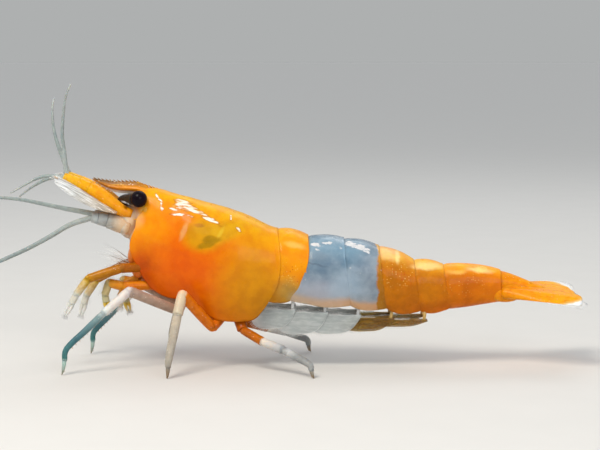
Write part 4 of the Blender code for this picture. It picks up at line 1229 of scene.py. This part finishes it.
MAXILLIPED_ROUTE = [(-6.98, 0.26, 4.42), (-7.6, 0.26, 4.05), (-7.95, 0.26, 3.4), (-7.9, 0.26, 2.9)]


def add_joint_skins(mesh, joints):
    """A small ball of skin at each (place, radius, share) joint, where two articles meet."""
    layer = mesh.verts.layers.float["along"]
    for centre, radius, share in joints:
        at = Matrix.Translation(centre)
        for vert in bmesh.ops.create_icosphere(mesh, subdivisions=2, radius=radius, matrix=at)["verts"]:
            vert[layer] = share


def add_walking_leg(mesh, hairs, joints, thigh, shin):
    """Coxa, ischium, merus, carpus, propodus with its row of spines, and a hooked claw on the floor."""
    hip, first, knee, wrist, ankle, foot = [Vector(joint) for joint in joints]
    toe = ankle.lerp(foot, 0.45)
    add_article(mesh, [hip + Vector((0, -hip.y * 0.12, 0.25)), first], (0.30, 0.27), (0.0, 0.10))
    add_article(mesh, [first, knee], (0.26 * thigh, 0.27 * thigh), (0.10, 0.45))
    add_article(mesh, [knee, wrist], (0.25 * thigh, 0.22 * shin), (0.45, 0.58))
    radii = (0.20 * shin, 0.18 * shin, 0.16 * shin, 0.13)
    add_article(mesh, [wrist, wrist.lerp(ankle, 0.5), ankle, toe], radii, (0.58, 0.94))
    hook = (wrist - knee).normalized() * 0.10
    stations = [(toe + Vector((0, 0, 0.03)), 0.11), (toe.lerp(foot, 0.35) - hook * 0.3, 0.10),
                (toe.lerp(foot, 0.75) - hook * 0.3, 0.065), (foot + Vector((0, 0, 0.02)), 0.02)]
    add_rod(mesh, stations, 10, 1.0, (0.94, 1.0))
    add_joint_skins(mesh, [(first, 0.23 * thigh, 0.10), (knee, 0.24 * thigh, 0.45),
                           (wrist, 0.20 * shin, 0.58), (toe, 0.11, 0.94)])
    inner = Vector((hip.x - foot.x, hip.y - foot.y, 0)).normalized()
    lean = (inner + (ankle - wrist).normalized() * 0.9).normalized()
    for k in range(9):
        add_tooth(mesh, wrist.lerp(ankle, 0.15 + 0.10 * k) + inner * 0.15, lean, 0.14, 0.028)
    down = (inner - Vector((0, 0, 1))).normalized()
    for k in range(3):
        add_tooth(mesh, toe.lerp(foot, 0.3 + 0.2 * k) + inner * 0.06, down, 0.09, 0.022)
    add_side_hairs(hairs, [wrist + inner * -0.17, ankle + inner * -0.14], 14, 0.20, -inner)
    add_side_hairs(hairs, [first.lerp(knee, 0.2), knee], 8, 0.30, (0, 0, -0.6))


def add_feeding_leg(mesh, hairs, joints):
    """A short leg that ends in a small pair of fingers, each with a brush for gathering food."""
    hip, first, elbow, wrist, tip = [Vector(joint) for joint in joints]
    add_article(mesh, [(hip.x + 0.7, hip.y * 0.55, hip.z + 0.15), first], (0.24, 0.25), (0.0, 0.14))
    add_article(mesh, [first, elbow], (0.25, 0.22), (0.14, 0.46))
    add_article(mesh, [elbow, wrist], (0.20, 0.19), (0.46, 0.62))
    ahead = (tip - wrist).normalized()
    palm = wrist.lerp(tip, 0.42)
    add_article(mesh, [wrist, palm], (0.17, 0.18), (0.62, 0.80), flat=0.8)
    add_joint_skins(mesh, [(first, 0.23, 0.14), (elbow, 0.20, 0.46), (wrist, 0.16, 0.62)])
    across = ahead.cross(Vector((0, 1, 0))).normalized()
    for sign in (-1, 1):
        root = palm + across * 0.075 * sign - ahead * 0.06
        bend = palm.lerp(tip, 0.5) + across * 0.095 * sign
        end = tip + across * 0.04 * sign
        add_rod(mesh, [(root, 0.10), (bend.lerp(root, 0.5), 0.095), (bend, 0.075),
                       (end.lerp(bend, 0.4), 0.06), (end, 0.03)], 10, 1.0, (0.80, 1.0))
        add_brush(hairs, end - ahead * 0.16, ahead + across * 0.20 * sign, 22, 0.32, 0.24, 0.010)
    add_side_hairs(hairs, [first + Vector((0, 0, 0.2)), elbow + Vector((-0.05, 0, 0.2))], 10, 0.28, (0, 0, 1))
    add_side_hairs(hairs, [elbow + Vector((-0.2, 0, 0.1)), wrist + Vector((-0.2, 0, 0))], 10, 0.30,
                   (-1, 0, 0.2))
    for out in (-across, across):
        add_side_hairs(hairs, [wrist + out * 0.14, tip + out * 0.08], 14, 0.24, out)


def make_legs(materials, hairs):
    for name, joints in LEGS.items():
        mesh = new_mesh()
        number = int(name.split("_")[1])
        if number in FEEDING_LEGS:
            add_feeding_leg(mesh, hairs, joints)
        else:
            add_walking_leg(mesh, hairs, joints, *STOUTNESS[number])
        finish_piece(name + "_shell", mesh, materials[number], [name])


def make_mouth_leg(label, side, material, hairs):
    """The maxilliped: three articles with a brush at the tip, and long setae by the mouth."""
    mesh = new_mesh()
    route = mirrored(MAXILLIPED_ROUTE, side)
    for k, radii in enumerate(((0.22, 0.20), (0.19, 0.17), (0.15, 0.06))):
        add_article(mesh, route[k:k + 2], radii, (k / 3, (k + 1) / 3))
    add_brush(hairs, route[3] + Vector((0, 0, 0.1)), (-0.2, 0, -1), 22, 0.35, 0.5)
    add_side_hairs(hairs, route[1:], 22, 0.35, (-1, 0, -0.2))
    add_brush(hairs, (-7.25, side * 0.45, 5.05), (-1, 0, 0.58), 6, 2.3, 0.30, 0.021)
    finish_piece(f"mouth_leg_{label}", mesh, material, [f"maxilliped_{label}"])


# ---------------------------------------------------------------- swimming legs and tail fan

# Each swimming leg: where its stem is, how far forward its leaves reach, and how low they hang.
PLEOPODS = [(0.72, 1.84, 1.95), (2.33, 1.53, 1.68), (3.98, 1.56, 1.70), (5.63, 1.56, 1.82),
            (7.28, 1.56, 2.05)]
CLEAR_PLEOPODS = 3          # the first ones are clear, and the ones behind them are tinted
TELSON_START = 10.70
TELSON_LENGTH = 4.0
TELSON_TOP = [(10.7, 4.86), (11.5, 4.66), (12.1, 4.44), (12.8, 4.15), (13.5, 3.92), (14.2, 3.74),
              (14.7, 3.62)]
TELSON_FLOOR = [(10.7, 3.62), (12.0, 3.66), (13.0, 3.62), (14.0, 3.55), (14.7, 3.52)]
TELSON_HALF_WIDTH = [(10.7, 0.60), (11.3, 0.56), (12.0, 0.46), (12.9, 0.37), (13.7, 0.29), (14.4, 0.21),
                     (14.7, 0.17)]
# Stations of the fan's blades: x, y, z and half width.
UROPOD_INNER = [(11.2, 0.34, 3.90, 0.22), (12.2, 0.44, 3.80, 0.36), (13.1, 0.52, 3.74, 0.46),
                (13.9, 0.58, 3.72, 0.52), (14.45, 0.60, 3.66, 0.48), (14.85, 0.62, 3.60, 0.40)]
UROPOD_OUTER = [(11.2, 0.60, 3.70, 0.24), (12.2, 0.96, 3.72, 0.40), (13.1, 1.24, 3.72, 0.54),
                (14.0, 1.38, 3.66, 0.60), (14.7, 1.46, 3.56, 0.52), (15.05, 1.50, 3.48, 0.40)]
FAN_TILT = {"left": math.radians(22), "right": math.radians(28)}
FAN_LIFT = {"left": 0.0, "right": -0.10}
FAN_ROLL = math.radians(3)


def make_pleopods(label, side, films, hairs):
    """Each swimming leg: a thin stem and two cupped leaves swept forward, the outer one larger."""
    for number, (stem, reach, low) in enumerate(PLEOPODS, start=1):
        top = read_line(ABDOMEN_BELLY, stem)
        shoulder = top - 0.34
        mesh = new_mesh()
        y = 0.80 * side
        add_article(mesh, [(stem + 0.05, y * 0.8, top + 0.30), (stem + 0.02, y, shoulder + 0.20),
                           (stem - 0.02, y, shoulder - 0.12)], (0.13, 0.085, 0.075), (0.9, 1.0))
        half = (shoulder + 0.02 - low) / 2
        for y_leaf, size in ((0.92, 1.0), (0.62, 0.90)):
            middle = low + half * (2.0 - size)
            far = stem - (reach + (0.25 if number == 1 else 1.0)) * size
            route = [(stem + 0.16, side * (y_leaf + 0.06), shoulder - 0.02),
                     (stem + (far - stem) * 0.22, side * (y_leaf + 0.04), middle + half * 0.16),
                     (stem + (far - stem) * 0.50, side * y_leaf, middle),
                     (stem + (far - stem) * 0.78, side * (y_leaf - 0.08), middle - half * 0.02),
                     (far, side * (y_leaf - 0.17), middle + half * 0.15)]
            half_widths = (0.05, half * 0.86, half * size, half * 0.92 * size, half * 0.35)
            place = leaf_place(route, half_widths, math.radians(90), side * 0.10, tip=0.12)
            add_leaf(mesh, place, 0.035, 0.015, milky_rims)
            add_fringe(hairs, place, 90, 0.22, 0.30, (1, 0), 0.010, (0.1, 0, -0.2))
        film = films[number > CLEAR_PLEOPODS]
        finish_piece(f"swimming_leg_{number}_{label}", mesh, film,
                     [f"pleopod_{number}_{label}"])


def milky_rims(u, v):
    return 0.7 * max(v**3, abs(math.cos(2 * math.pi * u))**14)


def telson_place(u, v):
    """The telson: a tapering wedge that carries on the back's own line, domed above and flat below."""
    x = TELSON_START + TELSON_LENGTH * v
    wide, high = round_section(u, 0.8)
    top, bottom = read_line(TELSON_TOP, x), read_line(TELSON_FLOOR, x)
    end = rounding((1 - v) / 0.05)
    middle, reach = (top + bottom) / 2, (top - bottom) / 2 * end
    narrow = 1 - 0.35 * max(high, 0.0)**2
    return Vector((x, read_line(TELSON_HALF_WIDTH, x) * wide * end * narrow, middle + reach * high))


def make_telson(material):
    """The telson with its small spines: four along each side of its back, and three at each side's tip."""
    mesh = closed_skin(28, 40, telson_place, lambda u, v: 0.66 * v)
    for side in SIDES.values():
        for x in (12.6, 13.2, 13.8, 14.3):
            root = (x, side * read_line(TELSON_HALF_WIDTH, x) * 0.6, read_line(TELSON_TOP, x) - 0.07)
            add_tooth(mesh, root, unit(0.93, side * 0.2, 0.12), 0.15, 0.03)
        for k in range(3):
            add_tooth(mesh, (14.62, side * (0.04 + 0.06 * k), 3.56), unit(1, side * 0.15, -0.1), 0.26, 0.022)
    finish_piece("telson_blade", mesh, material, ["telson"])


def fan_tone(side, white):
    """How pale a blade is along its length: whiter at its outer margin, in a wider band on the right."""
    power = 3 if side < 0 else 1.5
    return lambda u, v: v * (0.66 + white * ((1 + side * math.cos(2 * math.pi * u)) / 2)**power)


def make_uropod(kind, stations, label, side, material, hairs):
    """One blade of the tail fan. The outer one has the short base, a corner spine and a fringed margin."""
    is_outer = kind == "outer"
    line = mirrored([(x, y, z + FAN_LIFT[label]) for x, y, z, _ in stations], side)
    half_widths = [station[3] for station in stations]
    place = leaf_place(line, half_widths, FAN_TILT[label], 0.12, 0.0, FAN_ROLL, 0.10)
    mesh = new_mesh()
    add_leaf(mesh, place, 0.26, 0.05, fan_tone(side, 0.44 if is_outer else 0.04))
    if is_outer:
        add_ball(mesh, (11.30, side * 0.42, 3.70 + side * 0.05), (0.85, 0.34, 0.43), (0, 0.04, 0))
        corner = line[3] + Vector((0.1, side * half_widths[3] * 0.9, side * 0.15))
        add_tooth(mesh, corner, unit(1, side * 0.1, 0), 0.22, 0.03)
    finish_piece(f"uropod_{kind}_blade_{label}", mesh, material, [f"uropod_{kind}_{label}"])
    outer_margin = 1 if side < 0 else 0
    add_fringe(hairs, place, 240, 0.30, 0.45, (outer_margin,) if is_outer else (), 0.012, (0.1, 0, 0))


# ---------------------------------------------------------------- floor, light and camera

HORIZON = "#aeb0b0"
ZENITH = "#d5d8dc"
LAMP_AIM = Vector((0.002, 0.0, 0.006))
# Name, place, size and power of each lamp, in metres and watts, and its colour.
LAMPS = [("key", (-0.035, -0.060, 0.100), 0.045, 0.090, "#fff7ea"),
         ("fill", (0.060, -0.140, 0.062), 0.070, 0.048, "#f6f9ff"),
         ("rim", (0.030, 0.080, 0.100), 0.050, 0.018, "#ffffff")]
FLOOR_RADIUS = 2.0
CAMERA_LENS = 100
CAMERA_AIM = Vector((1.10, 0.0, 7.05))
CAMERA_RISE = math.radians(6)
CAMERA_DISTANCE = 0.083333


def make_stage():
    """A wide floor of matt paper: pale and even, with no shine."""
    mesh = bmesh.new()
    bmesh.ops.create_circle(mesh, cap_ends=True, segments=96, radius=FLOOR_RADIUS)
    data = bpy.data.meshes.new("studio_floor")
    mesh.to_mesh(data)
    mesh.free()
    floor = bpy.data.objects.new("studio_floor", data)
    bpy.context.scene.collection.objects.link(floor)
    material, tree, place = start_material("matt_paper", Roughness=0.85, Specular_IOR_Level=0.2)
    paper = laid_over(tree, "#d9d8d5", grain(tree, place, 3.0), "#dddcd9")
    data.materials.append(finish_material(material, Base_Color=paper))


def make_light():
    """A soft key lamp over the head, a weak fill at the camera's side, a faint rim lamp, and a pale dome.

    The dome is darker at the horizon, by as much as makes the far floor run into it with no line.
    """
    for name, place, size, power, colour in LAMPS:
        data = bpy.data.lights.new(name, "AREA")
        data.size = size
        data.energy = power
        data.color = hex_colour(colour)[:3]
        lamp = bpy.data.objects.new(name, data)
        lamp.location = place
        lamp.rotation_mode = "QUATERNION"
        lamp.rotation_quaternion = (Vector(place) - LAMP_AIM).to_track_quat("Z", "Y")
        bpy.context.scene.collection.objects.link(lamp)
    world = bpy.data.worlds.new("studio")
    world.use_nodes = True
    tree = world.node_tree
    ahead = add_node(tree, "ShaderNodeTexCoord", output="Generated")
    height = add_node(tree, "ShaderNodeSeparateXYZ", {"Vector": ahead}, "Z")
    dome = coloured_by(tree, rising(tree, height, 0.0, 1.0), [(0.0, HORIZON), (1.0, ZENITH)])
    tree.links.new(dome, tree.nodes["Background"].inputs["Color"])
    bpy.context.scene.world = world
    bpy.context.scene.view_settings.view_transform = "Standard"


def make_camera():
    """A long lens, level with the animal and a little above the floor, on its left side."""
    data = bpy.data.cameras.new("camera")
    data.lens = CAMERA_LENS
    data.sensor_width = 36
    data.clip_start = 0.001
    data.clip_end = 10
    camera = bpy.data.objects.new("camera", data)
    back = Vector((0, -math.cos(CAMERA_RISE), math.sin(CAMERA_RISE)))
    camera.location = TO_FRAME @ CAMERA_AIM + back * CAMERA_DISTANCE
    camera.rotation_mode = "QUATERNION"
    camera.rotation_quaternion = back.to_track_quat("Z", "Y")
    bpy.context.scene.collection.objects.link(camera)
    bpy.context.scene.camera = camera


def main():
    orange = make_orange_cuticle()
    clear = make_clear_cuticle()
    flesh = make_soft_flesh()
    cornea = make_cornea()
    gold = make_limb_shell("gold_cuticle", GOLD_COLOURS, 0.12)
    glassy = make_limb_shell("glassy_cuticle", GLASSY_COLOURS)
    frosted = make_scale_cuticle()
    feeler = make_limb_shell("ringed_cuticle", FEELER_COLOURS)
    films = [make_film("swimming_film", FILM_COLOURS, "#f2f5f4", 0.55),
             make_film("tinted_film", TINTED_FILM_COLOURS, "#b88a34", 0.35)]
    fan = make_limb_shell("fan_cuticle", FAN_COLOURS, 0.06)
    legs = {number: make_limb_shell(f"leg_cuticle_{number}", stops, 0.10)
            for number, stops in LEG_COLOURS.items()}
    bristle = make_bristle()
    make_carapace(orange)
    make_rostrum(make_rostrum_cuticle())
    for number in range(1, LAST_RING + 1):
        is_clear = number in CLEAR_RINGS
        make_ring(number, clear if is_clear else orange)
    make_body_flesh(flesh)
    make_head(flesh)
    head_hairs, leg_hairs, swim_hairs, fan_hairs = [new_hairs() for _ in range(4)]
    for label, side in SIDES.items():
        make_eye(label, side, cornea)
        make_antennule(label, side, gold)
        make_antenna_base(label, side, glassy)
        make_scale(label, side, frosted, head_hairs)
        make_pleopods(label, side, films, swim_hairs)
    for name, route in FEELERS.items():
        make_feeler(name + "_rings", route, (0.13, 0.045), [name], feeler)
    for name, route in LONG_FEELERS.items():
        make_feeler(name + "_rings", route, (0.15, 0.05), [f"{name}_1", f"{name}_2"], feeler)
    make_legs(legs, leg_hairs)
    for label, side in SIDES.items():
        make_mouth_leg(label, side, legs[0], leg_hairs)
    make_telson(fan)
    for label, side in SIDES.items():
        make_uropod("inner", UROPOD_INNER, label, side, fan, fan_hairs)
        make_uropod("outer", UROPOD_OUTER, label, side, fan, fan_hairs)
    finish_piece("head_bristles", head_hairs, bristle)
    finish_piece("leg_bristles", leg_hairs, bristle)
    finish_piece("swimming_bristles", swim_hairs, bristle)
    finish_piece("fan_bristles", fan_hairs, bristle)
    make_stage()
    make_light()
    make_camera()


main()
